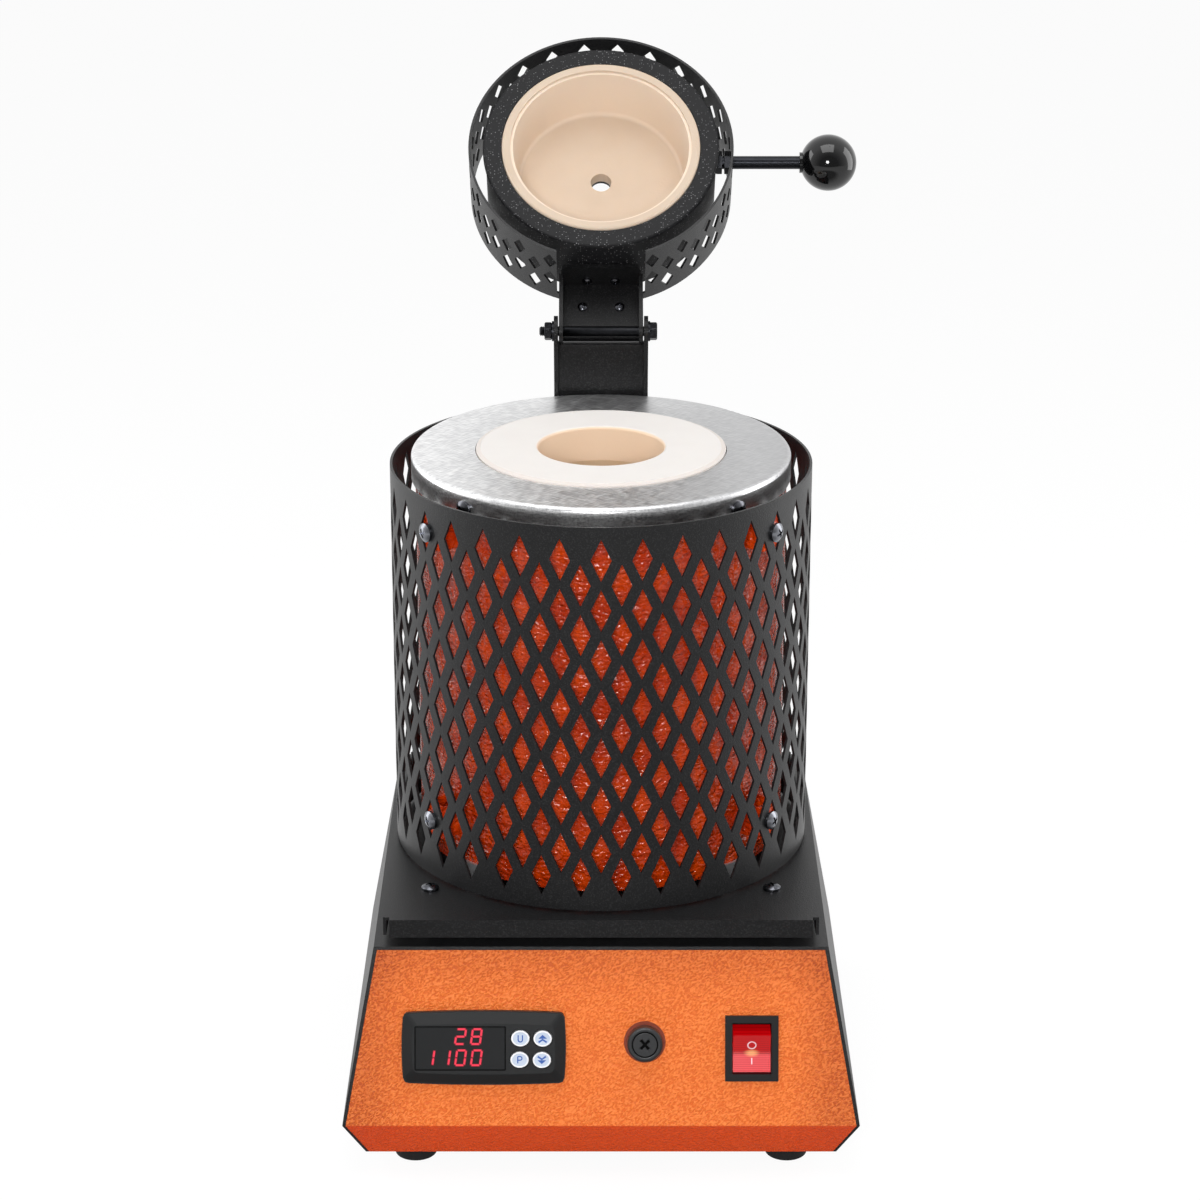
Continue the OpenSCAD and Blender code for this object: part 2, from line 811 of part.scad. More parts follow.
module band_bracket() {
  color("dimgray") opened() difference() {
    union() {
      box(-14, 14, 66.6, 79, arm_web_z + 2, arm_web_z + 3.2);
      box(-14, 14, 66.6, 67.8, arm_web_z + 2, band_top);
    }
    for (x = [-web_screw_x, web_screw_x]) translate([x, web_screw_y, 340]) cylinder(r = m3 + 0.1, h = 30, $fn = 32);
  }
}

module handle_rod() {
  color("dimgray") opened() translate([0, 0, rod_z]) rod_x(rod_r, casing_r - casing_t, knob_x - 7);
}

module handle_nuts() {
  color("silver") opened() translate([0, 0, rod_z]) for (x = [casing_r + 0.1, band_r - band_t - 3.1])
    translate([x, 0, 0]) rotate([0, 90, 0]) difference() {
      cylinder(r = 5.8, h = 2.9, $fn = 6);
      translate([0, 0, -1]) cylinder(r = rod_r + 0.02, h = 5);
    }
}

module handle_knob() {
  color("black") opened() translate([knob_x, 0, rod_z]) difference() {
    union() {
      sphere(r = knob_r);
      rod_x(collar_r, -knob_r - 0.4, -8);
    }
    rod_x(rod_r + 0.02, -20, -6.9);
  }
}

// Temperature controller

// Outline of the bezel: a rounded rectangle whose sides bulge a little
module bezel_outline(w, d, bulge_x, bulge_y, corner) {
  rx = (d * d / 4 + bulge_x * bulge_x) / (2 * bulge_x);
  ry = (w * w / 4 + bulge_y * bulge_y) / (2 * bulge_y);
  intersection() {
    translate([rx - w / 2, 0]) circle(r = rx, $fn = 360);
    translate([w / 2 - rx, 0]) circle(r = rx, $fn = 360);
    translate([0, ry - d / 2]) circle(r = ry, $fn = 720);
    translate([0, d / 2 - ry]) circle(r = ry, $fn = 720);
    union() {
      square([w, d - 2 * corner - 2 * bulge_y], center = true);
      square([w - 2 * corner - 2 * bulge_x, d], center = true);
      for (x = [-1, 1], y = [-1, 1])
        translate([x * (w / 2 - corner - bulge_x), y * (d / 2 - corner - bulge_y)]) circle(r = corner, $fn = 48);
    }
  }
}

key_places = [[17.25, 5.1], [27.7, 5], [16.9, -5], [27.3, -5.1]];

module key_solid(w, d, h) {
  scale([w / d, 1, 1]) cylinder(r = d / 2, h = h, $fn = 40);
}

module controller_bezel() {
  color("black") on_panel(controller_at) difference() {
    union() {
      linear_extrude(bezel_base) bezel_outline(bezel_w, bezel_d, 0.9, 1, 2);
      hull() {
        translate([0, 0, bezel_base - 0.5]) linear_extrude(0.5) bezel_outline(bezel_w - 1, bezel_d - 1, 0.9, 1, 2);
        translate([0, 0, bezel_face - 0.2]) linear_extrude(0.2) bezel_outline(bezel_w - 10, bezel_d - 11, 0.7, 0.8, 2);
      }
    }
    translate([window_at[0], window_at[1], bezel_face - 0.5])
      linear_extrude(5) square([window_w, window_d], center = true);
    translate([0, 0, -1]) linear_extrude(2.5) square([67, 25], center = true);
    for (p = key_places) translate([p[0], p[1], -1]) key_solid(key_w + 2 * key_gap, key_d + 2 * key_gap, 10);
  }
}

module controller_window() {
  color("black") on_panel(controller_at) translate([window_at[0], window_at[1], bezel_face - 0.5])
    linear_extrude(0.4) square([window_w - 0.3, window_d - 0.3], center = true);
}

// One bar of a digit, from one point to another, with pointed ends
module bar(a, b) {
  d = (b - a) / norm(b - a);
  n = [-d[1], d[0]] * bar_w / 2;
  t = d * bar_w / 2;
  polygon([a, a + t + n, b - t + n, b, b - t - n, a + t - n]);
}

// Bars of a digit: top, upper right, lower right, bottom, lower left, upper left, middle
module digit(bars) {
  w = digit_w;
  h = digit_h;
  lean = tan(digit_lean);
  at = [[0, h], [w, h], [w, h / 2], [w, 0], [0, 0], [0, h / 2]];
  slanted = [for (p = at) [p[0] + p[1] * lean, p[1]]];
  ends = [[0, 1], [1, 2], [2, 3], [3, 4], [4, 5], [5, 0], [5, 2]];
  for (i = bars) {
    p = slanted[ends[i][0]];
    q = slanted[ends[i][1]];
    d = (q - p) / norm(q - p) * 0.15;
    bar(p + d, q - d);
  }
}

zero = [0, 1, 2, 3, 4, 5];
one = [1, 2];
two = [0, 1, 6, 4, 3];
eight = [0, 1, 2, 3, 4, 5, 6];

module digit_row(digits, right, low) {
  for (i = [0 : len(digits) - 1])
    translate([right - (len(digits) - i) * digit_step, low]) digit(digits[i]);
}

module display_digits() {
  color("red") on_panel(controller_at, bezel_face - 0.1) linear_extrude(0.08) {
    digit_row([two, eight], digit_right, digit_lows[0]);
    digit_row([one, one, zero, zero], digit_right, digit_lows[1]);
  }
}

module key(i) {
  color("lightgray") on_panel(controller_at) translate([key_places[i][0], key_places[i][1], 1.6])
    key_solid(key_w, key_d, key_top - 1.6);
}

module key_set() {
  key(0);
}

module key_up() {
  key(1);
}

module key_program() {
  key(2);
}

module key_down() {
  key(3);
}

module controller_case() {
  color("black") on_panel(controller_at, -64) linear_extrude(63.9) square([70.6, 28.6], center = true);
}

module controller_clamps() {
  color("darkorange") on_panel(controller_at) for (s = [-1, 1])
    translate([s * 37.6 - 1.9, -5, -31.8]) cube([3.8, 10, 30]);
}

// Fuse holder

module fuse_body() {
  color("black") on_panel(fuse_at) difference() {
    union() {
      translate([0, 0, 0.85]) cylinder(r = 8, h = 1.1);
      translate([0, 0, -34]) cylinder(r = 6, h = 35);
      translate([-1, -1, -39]) cube([2, 2, 6]);
    }
    translate([0, 0, -32]) cylinder(r = 4, h = 40);
  }
}

module fuse_nut() {
  color("black") on_panel(fuse_at, -case_t - 3.2) difference() {
    cylinder(r = 8.6, h = 3, $fn = 6);
    translate([0, 0, -1]) cylinder(r = 6.05, h = 6);
  }
}

module fuse_washer() {
  color("maroon") on_panel(fuse_at, 0.02) tube(washer_r, 6.1, 0.8);
}

module fuse_link() {
  color("silver") on_panel(fuse_at, -31.6) cylinder(r = 2.6, h = 20);
}

module fuse_cap() {
  color("black") on_panel(fuse_at) difference() {
    union() {
      translate([0, 0, 2.1]) cylinder(r = fuse_cap_r, h = 5.9);
      translate([0, 0, -11.5]) cylinder(r = 3.9, h = 14);
    }
    translate([0, 0, 7.5]) tube(6.1, 5.7, 2);
    for (a = [30, 120]) rotate([0, 0, a]) translate([-3, -0.6, 6.5]) cube([6, 1.2, 3]);
  }
}

// Rocker switch

module switch_frame() {
  color("black") on_panel(switch_at) difference() {
    union() {
      linear_extrude(2) square([switch_w, switch_d], center = true);
      translate([0, 0, -20]) linear_extrude(20.5) square([21.8, 27.8], center = true);
      for (y = [-8, 0, 8]) translate([-3.2, y - 0.4, -28]) cube([6.4, 0.8, 9]);
    }
    translate([0, 0, -14]) linear_extrude(20) square([18.4, 24.2], center = true);
    translate([0, 0, pivot_h]) rod_x(1.25, -10.2, 10.2);
  }
}

// Outline of the rocker seen along X from its pivot: a shallow V on top, ends that lean out
module rocker_outline() {
  polygon([[9.1, 12.3], [0, 9.5], [-9.1, 12.3], [-11.3, 3.5], [-6, -3], [6, -3], [11.3, 3.5]]);
}

module switch_rocker() {
  color("red") on_panel(switch_at) translate([0, 0, pivot_h]) rotate([rocker_tilt, 0, 0]) {
    rotate([90, 0, 90]) translate([0, 0, -rocker_w / 2]) linear_extrude(rocker_w) rocker_outline();
    rod_x(1.2, -10.1, 10.1);
  }
}

// Electrical pieces in the case

// Gland of the mains lead in the rear panel, and its nut inside
module cord_gland() {
  color("black") on_rear(gland_at) {
    difference() {
      union() {
        translate([0, 0, 0.02]) cylinder(r = 10, h = 3, $fn = 6);
        translate([0, 0, -9]) cylinder(r = 7, h = 10);
        translate([0, 0, 3]) cylinder(r = 8, h = 9);
      }
      translate([0, 0, -10]) cylinder(r = gland_r, h = 30);
    }
    difference() {
      translate([0, 0, -case_t - 4.1]) cylinder(r = 10, h = 4, $fn = 6);
      translate([0, 0, -10]) cylinder(r = 7.05, h = 12);
    }
  }
}

module relay() {
  color("ivory") translate([52, 20, foot_h + 2 * case_t]) difference() {
    box(-22.5, 22.5, -29, 29, 0, 26);
    for (y = [-24, 24]) translate([0, y, -1]) cylinder(r = 2.2, h = 40, $fn = 32);
    for (x = [-14, 14], y = [-20, 20]) translate([x - 4.5, y - 4, 21]) cube([9, 8, 10]);
  }
}

module terminal_block() {
  color("ivory") translate([-40, 55, foot_h + 2 * case_t]) difference() {
    box(-27, 27, -10, 10, 0, 18);
    for (i = [0 : 3]) translate([-25 + 13.5 * i, -11, 7]) cube([9.5, 22, 20]);
  }
}

front_panel();
case_cover();
rear_panel();
base_plate();
case_screws();
feet();
foot_screws();
tray();
tray_spacers();
tray_screws();
lead_bushings();
drum();
drum_feet();
shell();
shell_brackets();
shell_screws();
top_cover();
cover_screws();
top_ring();
muffle();
heating_coil();
element_leads();
insulation_blanket();
insulation_floor();
thermocouple();
hinge_post();
post_spacers();
post_screws();
hinge_bolt();
hinge_nut();
hinge_washers();
lid_arm();
arm_screws();
lid_casing();
lid_insulation();
lid_insert();
lid_band();
band_bracket();
handle_rod();
handle_nuts();
handle_knob();
controller_bezel();
controller_window();
display_digits();
controller_case();
controller_clamps();
key_set();
key_up();
key_program();
key_down();
fuse_body();
fuse_nut();
fuse_washer();
fuse_link();
fuse_cap();
switch_frame();
switch_rocker();
relay();
terminal_block();
cord_gland();
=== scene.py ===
# %% [markdown]
# # An electric gold melting furnace
# This lesson dresses a finished CAD model of a small melting furnace: a perforated black shell round an
# orange drum, a ceramic mouth under a hinged lid, and a sloped control case. The CAD model is loaded
# first as a fixed frame. Its sheet metal already has the right shape, so it keeps its solids and gets
# finishes. Small moulded and turned parts are worked out here as surfaces.

# %% Load the frame
import math

import bpy
import numpy as np
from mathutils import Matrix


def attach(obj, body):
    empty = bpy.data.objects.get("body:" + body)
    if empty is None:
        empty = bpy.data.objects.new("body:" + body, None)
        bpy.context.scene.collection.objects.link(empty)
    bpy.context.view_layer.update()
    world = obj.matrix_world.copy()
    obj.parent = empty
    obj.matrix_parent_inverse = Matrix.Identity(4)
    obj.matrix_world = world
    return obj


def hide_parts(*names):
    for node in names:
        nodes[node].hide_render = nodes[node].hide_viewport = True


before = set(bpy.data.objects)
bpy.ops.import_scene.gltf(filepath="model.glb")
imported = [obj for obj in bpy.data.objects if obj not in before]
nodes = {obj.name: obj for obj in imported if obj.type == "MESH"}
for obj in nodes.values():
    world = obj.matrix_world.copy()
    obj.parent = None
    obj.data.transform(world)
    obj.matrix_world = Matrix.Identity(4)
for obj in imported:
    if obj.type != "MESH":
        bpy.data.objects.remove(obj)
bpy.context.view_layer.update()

# %% [markdown]
# ## The camera
# The picture was taken from 1.6 m in front and 0.83 m up, looking down by 20 degrees, with a lens of
# about 105 mm on a 36 mm frame. A long lens at that distance keeps the round shell nearly free of
# perspective.

# %% Camera
camera_data = bpy.data.cameras.new("camera")
camera = bpy.data.objects.new("camera", camera_data)
bpy.context.collection.objects.link(camera)
camera_data.lens = 105.45
camera_data.sensor_width = 36.0
camera_data.clip_start = 0.05
camera_data.clip_end = 50.0
camera.location = (-0.0005, -1.5961, 0.8296)
camera.rotation_euler = (math.radians(90 - 20.157), 0.0, 0.0)
bpy.context.scene.camera = camera
print("camera at", tuple(camera.location))

# %% [markdown]
# ## Helpers for materials
# Paint charts and photographs give colours as sRGB hex values, but the renderer counts light in linear
# numbers, so one function turns one into the other. Two more fill a node's inputs and add a node.

# %% Colour and node helpers
def linear(code):
    """A linear colour from an sRGB hex value: each channel c becomes
    ((c + 0.055) / 1.055) to the power 2.4, or c / 12.92 where it is very dark."""
    c = np.array([int(code[i:i + 2], 16) for i in (1, 3, 5)]) / 255.0
    return (*np.where(c <= 0.04045, c / 12.92, ((c + 0.055) / 1.055) ** 2.4), 1.0)


def wire(node, inputs):
    """Fills a node's inputs by name: a socket is linked, another node gives its first output in use, a
    hex value becomes a linear colour, and anything else is a plain value."""
    for name, value in inputs.items():
        if isinstance(value, bpy.types.Node):
            value = next(output for output in value.outputs if output.enabled)
        if isinstance(value, bpy.types.NodeSocket):
            node.id_data.links.new(value, node.inputs[name])
        else:
            node.inputs[name].default_value = linear(value) if isinstance(value, str) else value


def add(tree, kind, inputs=None, **settings):
    """Adds a node, sets its settings and fills its inputs."""
    node = tree.nodes.new("ShaderNode" + kind)
    for name, value in settings.items():
        setattr(node, name, value)
    wire(node, inputs or {})
    return node


def start_material(name, **sockets):
    """A new material with one shader, whose sockets hold plain values."""
    material = bpy.data.materials.new(name)
    material.use_nodes = True
    tree = material.node_tree
    shader = tree.nodes["Principled BSDF"]
    wire(shader, {socket.replace("_", " "): value for socket, value in sockets.items()})
    place = add(tree, "TexCoord").outputs["Object"]
    return material, tree, shader, place


def per_mm(size):
    """The scale of a pattern whose grains are this many millimetres wide, for coordinates in metres."""
    return 1000.0 / size

# %% [markdown]
# ## Powder coat
# The case, tray, shell, post and lid are sheet steel with a baked epoxy polyester powder coat. The powder
# melts into a skin with a fine grain, so it is matt from the front and turns pale at a grazing angle. One
# noise gives the grain: it drives the bump, the gloss, and a paler tone on the crests, which catch the
# light. The hinge parts get a darker copy of the coat, a painted shade for the shadow they stand in. The
# real grain of 0.3 mm is finer than a pixel, so it is drawn 0.65 mm wide.

# %% Black powder coat
def black_powder(name, dark, light, gloss):
    """A matt black coat: slow patches mix the two tones, and the grain adds its pale crests."""
    material, tree, shader, place = start_material(name, IOR=1.5, Specular_IOR_Level=gloss)
    grain = add(tree, "TexNoise", {"Vector": place, "Scale": per_mm(0.65), "Detail": 2.0})
    patches = add(tree, "TexNoise", {"Vector": place, "Scale": per_mm(45), "Detail": 1.0})
    tone = add(tree, "Mix", {"Factor": patches, "A": dark, "B": light}, data_type="RGBA")
    crest = add(tree, "MapRange", {"Value": grain, "From Min": 0.5, "From Max": 0.72, "To Min": 0.0,
                                   "To Max": 0.45})
    tone = add(tree, "Mix", {"Factor": crest, "A": tone, "B": "#3c3c3d"}, data_type="RGBA")
    rough = add(tree, "MapRange", {"Value": grain, "To Min": 0.34, "To Max": 0.48})
    bump = add(tree, "Bump", {"Height": grain, "Strength": 0.6, "Distance": 0.0002})
    wire(shader, {"Base Color": tone, "Roughness": rough, "Normal": bump})
    return material


black_coat = black_powder("black_powder_coat", "#141415", "#1b1b1c", 0.3)
# Painted shade: a darker copy of the same coat for the hinge parts, which stand in shadow.
shaded_black_coat = black_powder("shaded_black_powder_coat", "#0c0c0d", "#121213", 0.2)
print("made", black_coat.name, "and", shaded_black_coat.name)

# %% [markdown]
# The front panel has a thicker orange coat that wrinkles like leather: short slanting ridges under 2 mm
# apart. One noise, stretched along a slant, raises the ridges by bump and paints the valleys a little
# darker and the ridges lighter, a painted shade and painted highlight of the wrinkles. Towards the upper
# edge and the sides the coat gets a painted shade, browner, most of all in the valleys. Below the fold the
# lower facet, which faces down, gets a painted shade of deeper red.

# %% Orange wrinkle coat
FOLD_HEIGHT = 0.028


def orange_wrinkle():
    material, tree, shader, place = start_material("orange_wrinkle_powder_coat", Roughness=0.46, IOR=1.5,
                                                   Specular_IOR_Level=0.35)
    turned = add(tree, "Mapping", {"Vector": place, "Rotation": (0.0, math.radians(40), 0.0)})
    slant = add(tree, "Mapping", {"Vector": turned, "Scale": (0.6, 1.0, 1.0)})
    ridges = add(tree, "TexNoise", {"Vector": slant, "Scale": per_mm(0.85), "Detail": 0.4,
                                    "Distortion": 0.5})
    height = add(tree, "MapRange", {"Value": ridges, "From Min": 0.34, "From Max": 0.64})
    # Painted light: the ridges are painted lighter and the valleys darker.
    tone = add(tree, "Mix", {"Factor": height, "A": "#e8691f", "B": "#fd873c"}, data_type="RGBA")
    axes = add(tree, "SeparateXYZ", {"Vector": place})
    # Painted shade: towards the sides and the upper edge the coat is mixed to brown, most in the valleys.
    aside = add(tree, "Math", {0: axes.outputs["X"]}, operation="ABSOLUTE")
    side = add(tree, "MapRange", {"Value": aside, "From Min": 0.084, "From Max": 0.114, "To Min": 0.06,
                                  "To Max": 0.85}, interpolation_type="SMOOTHSTEP")
    upper = add(tree, "MapRange", {"Value": axes.outputs["Z"], "From Min": 0.08, "From Max": 0.109,
                                   "To Min": 0.0, "To Max": 0.6}, interpolation_type="SMOOTHSTEP")
    edge_shade_mask = add(tree, "Math", {0: side, 1: upper}, operation="ADD")
    valley = add(tree, "MapRange", {"Value": ridges, "From Min": 0.5, "From Max": 0.34, "To Min": 0.38,
                                    "To Max": 0.66})
    painted_edge_shade = add(tree, "Math", {0: edge_shade_mask, 1: valley}, operation="MULTIPLY")
    edge_shaded_tone = add(tree, "Mix", {"Factor": painted_edge_shade, "A": tone, "B": "#8c2e0a"}, data_type="RGBA")
    # Painted shade: the lower facet, which faces down, is mixed to a deeper red.
    lower_facet_shade = add(tree, "MapRange", {"Value": axes.outputs["Z"], "From Min": FOLD_HEIGHT - 0.0004,
                                   "From Max": FOLD_HEIGHT + 0.0004, "To Min": 0.85, "To Max": 0.0})
    deep = add(tree, "Mix", {"Factor": lower_facet_shade, "A": edge_shaded_tone, "B": "#da3f00"}, data_type="RGBA")
    bump = add(tree, "Bump", {"Height": height, "Strength": 0.7, "Distance": 0.0005})
    wire(shader, {"Base Color": deep, "Normal": bump})
    return material


orange_coat = orange_wrinkle()
print("made", orange_coat.name)

# %% [markdown]
# The drum has a hammered finish: a glossy alkyd paint that draws itself into small dimples as it dries.
# Its colour is nearly even. The dimples are 2.4 mm wide and a little lower than wide, on slow waves of
# the thin drum wall, and they break the reflections of the lamps into glints.

# %% Hammered orange paint
def hammered_orange():
    material, tree, shader, place = start_material("hammered_orange_paint", Roughness=0.18, IOR=1.5,
                                                   Specular_IOR_Level=0.6, Coat_Weight=0.25,
                                                   Coat_Roughness=0.1)
    low = add(tree, "Mapping", {"Vector": place, "Scale": (1.0, 1.0, 1.35)})
    dimples = add(tree, "TexNoise", {"Vector": low, "Scale": per_mm(2.4), "Detail": 0.5,
                                     "Distortion": 0.3})
    waves = add(tree, "TexNoise", {"Vector": place, "Scale": per_mm(14), "Detail": 1.0})
    mottle = add(tree, "MapRange", {"Value": waves, "From Min": 0.36, "From Max": 0.64})
    tone = add(tree, "Mix", {"Factor": mottle, "A": "#be3001", "B": "#dc4403"}, data_type="RGBA")
    slow = add(tree, "Bump", {"Height": waves, "Strength": 0.9, "Distance": 0.003})
    fast = add(tree, "Bump", {"Height": dimples, "Strength": 1.0, "Distance": 0.0018, "Normal": slow})
    wire(shader, {"Base Color": tone, "Normal": fast})
    return material


drum_paint = hammered_orange()
print("made", drum_paint.name)

# %% [markdown]
# ## Metals
# The top cover is stainless steel, brushed twice: hairlines cross at about 80 degrees. Two noises, each
# seven times as long as wide and 0.8 mm wide, add up to that crossing. Real hairlines are finer than a
# pixel here. Its tone is painted darker towards the right, a painted shade of the reflection. The
# skirt below the rolled edge was pressed smoother, so its roughness is a fifth lower. The drum's feet are
# galvanised, a dull pale grey. Screws and spacers are plated or blackened steel, smoother, with only a
# faint cloud in the gloss.

# %% Brushed stainless and plated steel
def hairlines(tree, place, angle, size):
    """Noise stretched to fine lines that lie at an angle to X in the level plane."""
    turned = add(tree, "Mapping", {"Vector": place, "Rotation": (0.0, 0.0, math.radians(angle))})
    along = add(tree, "Mapping", {"Vector": turned, "Scale": (0.14, 1.0, 1.0)})
    return add(tree, "TexNoise", {"Vector": along, "Scale": per_mm(size), "Detail": 2.0})


ROLLED_FROM, ROLLED_TO = 0.3176, 0.3192


def brushed_stainless():
    """Two sets of hairlines, added: their sum drives tone, roughness and bump. Roughness drops below the
    rolled edge, between the two heights above."""
    material, tree, shader, place = start_material("brushed_stainless_steel", Metallic=1.0)
    one_way = hairlines(tree, place, 30, 0.8)
    other_way = hairlines(tree, place, -48, 0.8)
    lines = add(tree, "Math", {0: one_way, 1: other_way}, operation="ADD")
    tone = add(tree, "MapRange", {"Value": lines, "From Min": 0.75, "From Max": 1.25})
    steel = add(tree, "Mix", {"Factor": tone, "A": "#c9c9ca", "B": "#f2f2f2"}, data_type="RGBA")
    axes = add(tree, "SeparateXYZ", {"Vector": place})
    # Painted shade: the steel is mixed towards grey to the right.
    right_shade = add(tree, "MapRange", {"Value": axes.outputs["X"], "From Min": -0.03, "From Max": 0.09,
                                   "To Min": 0.0, "To Max": 0.62})
    right_shaded_steel = add(tree, "Mix", {"Factor": right_shade, "A": steel, "B": "#8f8f91"}, data_type="RGBA")
    rough = add(tree, "MapRange", {"Value": lines, "From Min": 0.75, "From Max": 1.25, "To Min": 0.34,
                                   "To Max": 0.46})
    rolled = add(tree, "MapRange", {"Value": axes.outputs["Z"], "From Min": ROLLED_FROM,
                                    "From Max": ROLLED_TO, "To Min": 0.82, "To Max": 1.0})
    rough = add(tree, "Math", {0: rough, 1: rolled}, operation="MULTIPLY")
    bump = add(tree, "Bump", {"Height": lines, "Strength": 0.12, "Distance": 0.0001})
    wire(shader, {"Base Color": right_shaded_steel, "Roughness": rough, "Normal": bump})
    return material


def plated(name, dark, light, rough_from, rough_to):
    """A metal whose tone and roughness follow the same clouds, each between its two values."""
    material, tree, shader, place = start_material(name, Metallic=1.0)
    clouds = add(tree, "TexNoise", {"Vector": place, "Scale": per_mm(1.5), "Detail": 3.0})
    tone = add(tree, "Mix", {"Factor": clouds, "A": dark, "B": light}, data_type="RGBA")
    rough = add(tree, "MapRange", {"Value": clouds, "To Min": rough_from, "To Max": rough_to})
    wire(shader, {"Base Color": tone, "Roughness": rough})
    return material


stainless = brushed_stainless()
zinc = plated("zinc_plated_steel", "#9da0a6", "#c6c9cf", 0.2, 0.36)
galvanised = plated("galvanised_steel", "#cfd1d4", "#eeeff0", 0.5, 0.65)
nickel = plated("nickel_plated_steel", "#6c6e74", "#888a90", 0.2, 0.28)
black_nickel = plated("black_nickel_steel", "#3d3e42", "#6b6c72", 0.16, 0.3)
black_oxide = plated("black_oxide_steel", "#1d1d1f", "#333437", 0.3, 0.45)
burnished = plated("burnished_black_steel", "#1c1d1f", "#333438", 0.26, 0.4)
heater_wire = plated("oxidised_heater_wire", "#4a3f38", "#77685c", 0.45, 0.6)
print("made eight metals")

# %% [markdown]
# ## Ceramics
# The mouth ring is cast from a white castable, almost pure alumina, and the muffle and the lid insert
# from a warmer fire clay. Both are fired bisque: dull, slightly grainy, with light that sinks in a
# little.

# %% Fired ceramics and fibre
def fired(name, dark, light, grain_mm, rough, sunk=0.15):
    """A ceramic with slow clouds in its tone, a fine grain in its bump, and a share of light that sinks
    in."""
    material, tree, shader, place = start_material(name, Roughness=rough, IOR=1.55,
                                                   Subsurface_Weight=sunk, Subsurface_Scale=0.5,
                                                   Subsurface_Radius=(0.003, 0.002, 0.0012))
    grain = add(tree, "TexNoise", {"Vector": place, "Scale": per_mm(grain_mm), "Detail": 4.0})
    clouds = add(tree, "TexNoise", {"Vector": place, "Scale": per_mm(18), "Detail": 2.0})
    tone = add(tree, "Mix", {"Factor": clouds, "A": dark, "B": light}, data_type="RGBA")
    bump = add(tree, "Bump", {"Height": grain, "Strength": 0.25, "Distance": 0.0003})
    wire(shader, {"Base Color": tone, "Normal": bump})
    return material


fire_clay = fired("fire_clay", "#e2c7a4", "#ebd3b4", 1.1, 0.75)
fibre = fired("ceramic_fibre_wool", "#e4e2dc", "#f2f0ea", 2.5, 0.95)
white_ceramic = fired("white_castable_ceramic", "#f0e9e3", "#f6f0ea", 0.9, 0.7)


MOUTH_FROM, MOUTH_TO = 0.0301, 0.0312
RIM_FROM, RIM_TO = 0.0572, 0.0576


def mouth_ceramic():
    """The castable of the ring, browned by heat inside the mouth and a greyer beige on its outer rim.
    Both follow the distance from the vertical axis, the length of (x, y, 0)."""
    material = fired("white_castable_with_browned_mouth", "#e9e4e0", "#efebe7", 0.9, 0.7, sunk=0.04)
    tree = material.node_tree
    shader = tree.nodes["Principled BSDF"]
    white = shader.inputs["Base Color"].links[0].from_socket
    place = tree.nodes["Texture Coordinate"].outputs["Object"]
    flat = add(tree, "VectorMath", {0: place, 1: (1.0, 1.0, 0.0)}, operation="MULTIPLY")
    radius = add(tree, "VectorMath", {0: flat}, operation="LENGTH")
    inside = add(tree, "MapRange", {"Value": radius, "From Min": MOUTH_FROM, "From Max": MOUTH_TO,
                                    "To Min": 1.0, "To Max": 0.0}, interpolation_type="SMOOTHSTEP")
    browned = add(tree, "Mix", {"Factor": inside, "A": white, "B": "#efd4b8"}, data_type="RGBA")
    rim = add(tree, "MapRange", {"Value": radius, "From Min": RIM_FROM, "From Max": RIM_TO})
    tone = add(tree, "Mix", {"Factor": rim, "A": browned, "B": "#e2dad4"}, data_type="RGBA")
    wire(shader, {"Base Color": tone})
    return material


LID_MIDDLE = (0.0, 0.1558, 0.4144)
LID_AXIS = (0.0, 0.6820, -0.7314)
LIT_WALL_FROM, LIT_WALL_TO = 0.0405, 0.0458


def insert_ceramic():
    """The clay of the lid insert, painted paler on its wall as painted light: that is where the distance
    from the axis of the open lid, the length of (point minus middle) cross axis, is over 41 mm and under
    46 mm."""
    material = fired("pale_clay_with_painted_wall_light", "#cdb8a2", "#d6c3af", 1.1, 0.7)
    tree = material.node_tree
    shader = tree.nodes["Principled BSDF"]
    clay = shader.inputs["Base Color"].links[0].from_socket
    place = tree.nodes["Texture Coordinate"].outputs["Object"]
    arm = add(tree, "VectorMath", {0: place, 1: LID_MIDDLE}, operation="SUBTRACT")
    off = add(tree, "VectorMath", {0: arm, 1: LID_AXIS}, operation="CROSS_PRODUCT")
    far = add(tree, "VectorMath", {0: off}, operation="LENGTH")
    wall = add(tree, "MapRange", {"Value": far, "From Min": LIT_WALL_FROM, "From Max": 0.0422})
    lip = add(tree, "MapRange", {"Value": far, "From Min": 0.0452, "From Max": LIT_WALL_TO, "To Min": 1.0,
                                 "To Max": 0.0})
    # Painted light: the wall of the cup is mixed to a paler clay.
    painted_wall_light = add(tree, "Math", {0: wall, 1: lip}, operation="MULTIPLY")
    tone = add(tree, "Mix", {"Factor": painted_wall_light, "A": clay, "B": "#ecdac7"}, data_type="RGBA")
    wire(shader, {"Base Color": tone})
    return material


ring_ceramic = mouth_ceramic()
pale_clay = insert_ceramic()
print("made five ceramics")

# %% [markdown]
# ## Plastics and rubber
# The controller is black ABS with a fine spark-eroded texture, the knob and the fuse cap are phenolic
# with a moulded gloss, and the feet are rubber. One function covers them: a dark tone, a grain and a
# gloss.

# %% Moulded plastics
def moulded(name, dark, light, rough, grain_mm=0.7, strength=0.15, specular=0.5):
    """A plastic whose tone and bump follow one grain, from dark and low to light and high."""
    material, tree, shader, place = start_material(name, Roughness=rough, IOR=1.5,
                                                   Specular_IOR_Level=specular)
    grain = add(tree, "TexNoise", {"Vector": place, "Scale": per_mm(grain_mm), "Detail": 2.0})
    tone = add(tree, "Mix", {"Factor": grain, "A": dark, "B": light}, data_type="RGBA")
    bump = add(tree, "Bump", {"Height": grain, "Strength": strength, "Distance": 0.0001})
    wire(shader, {"Base Color": tone, "Normal": bump})
    return material


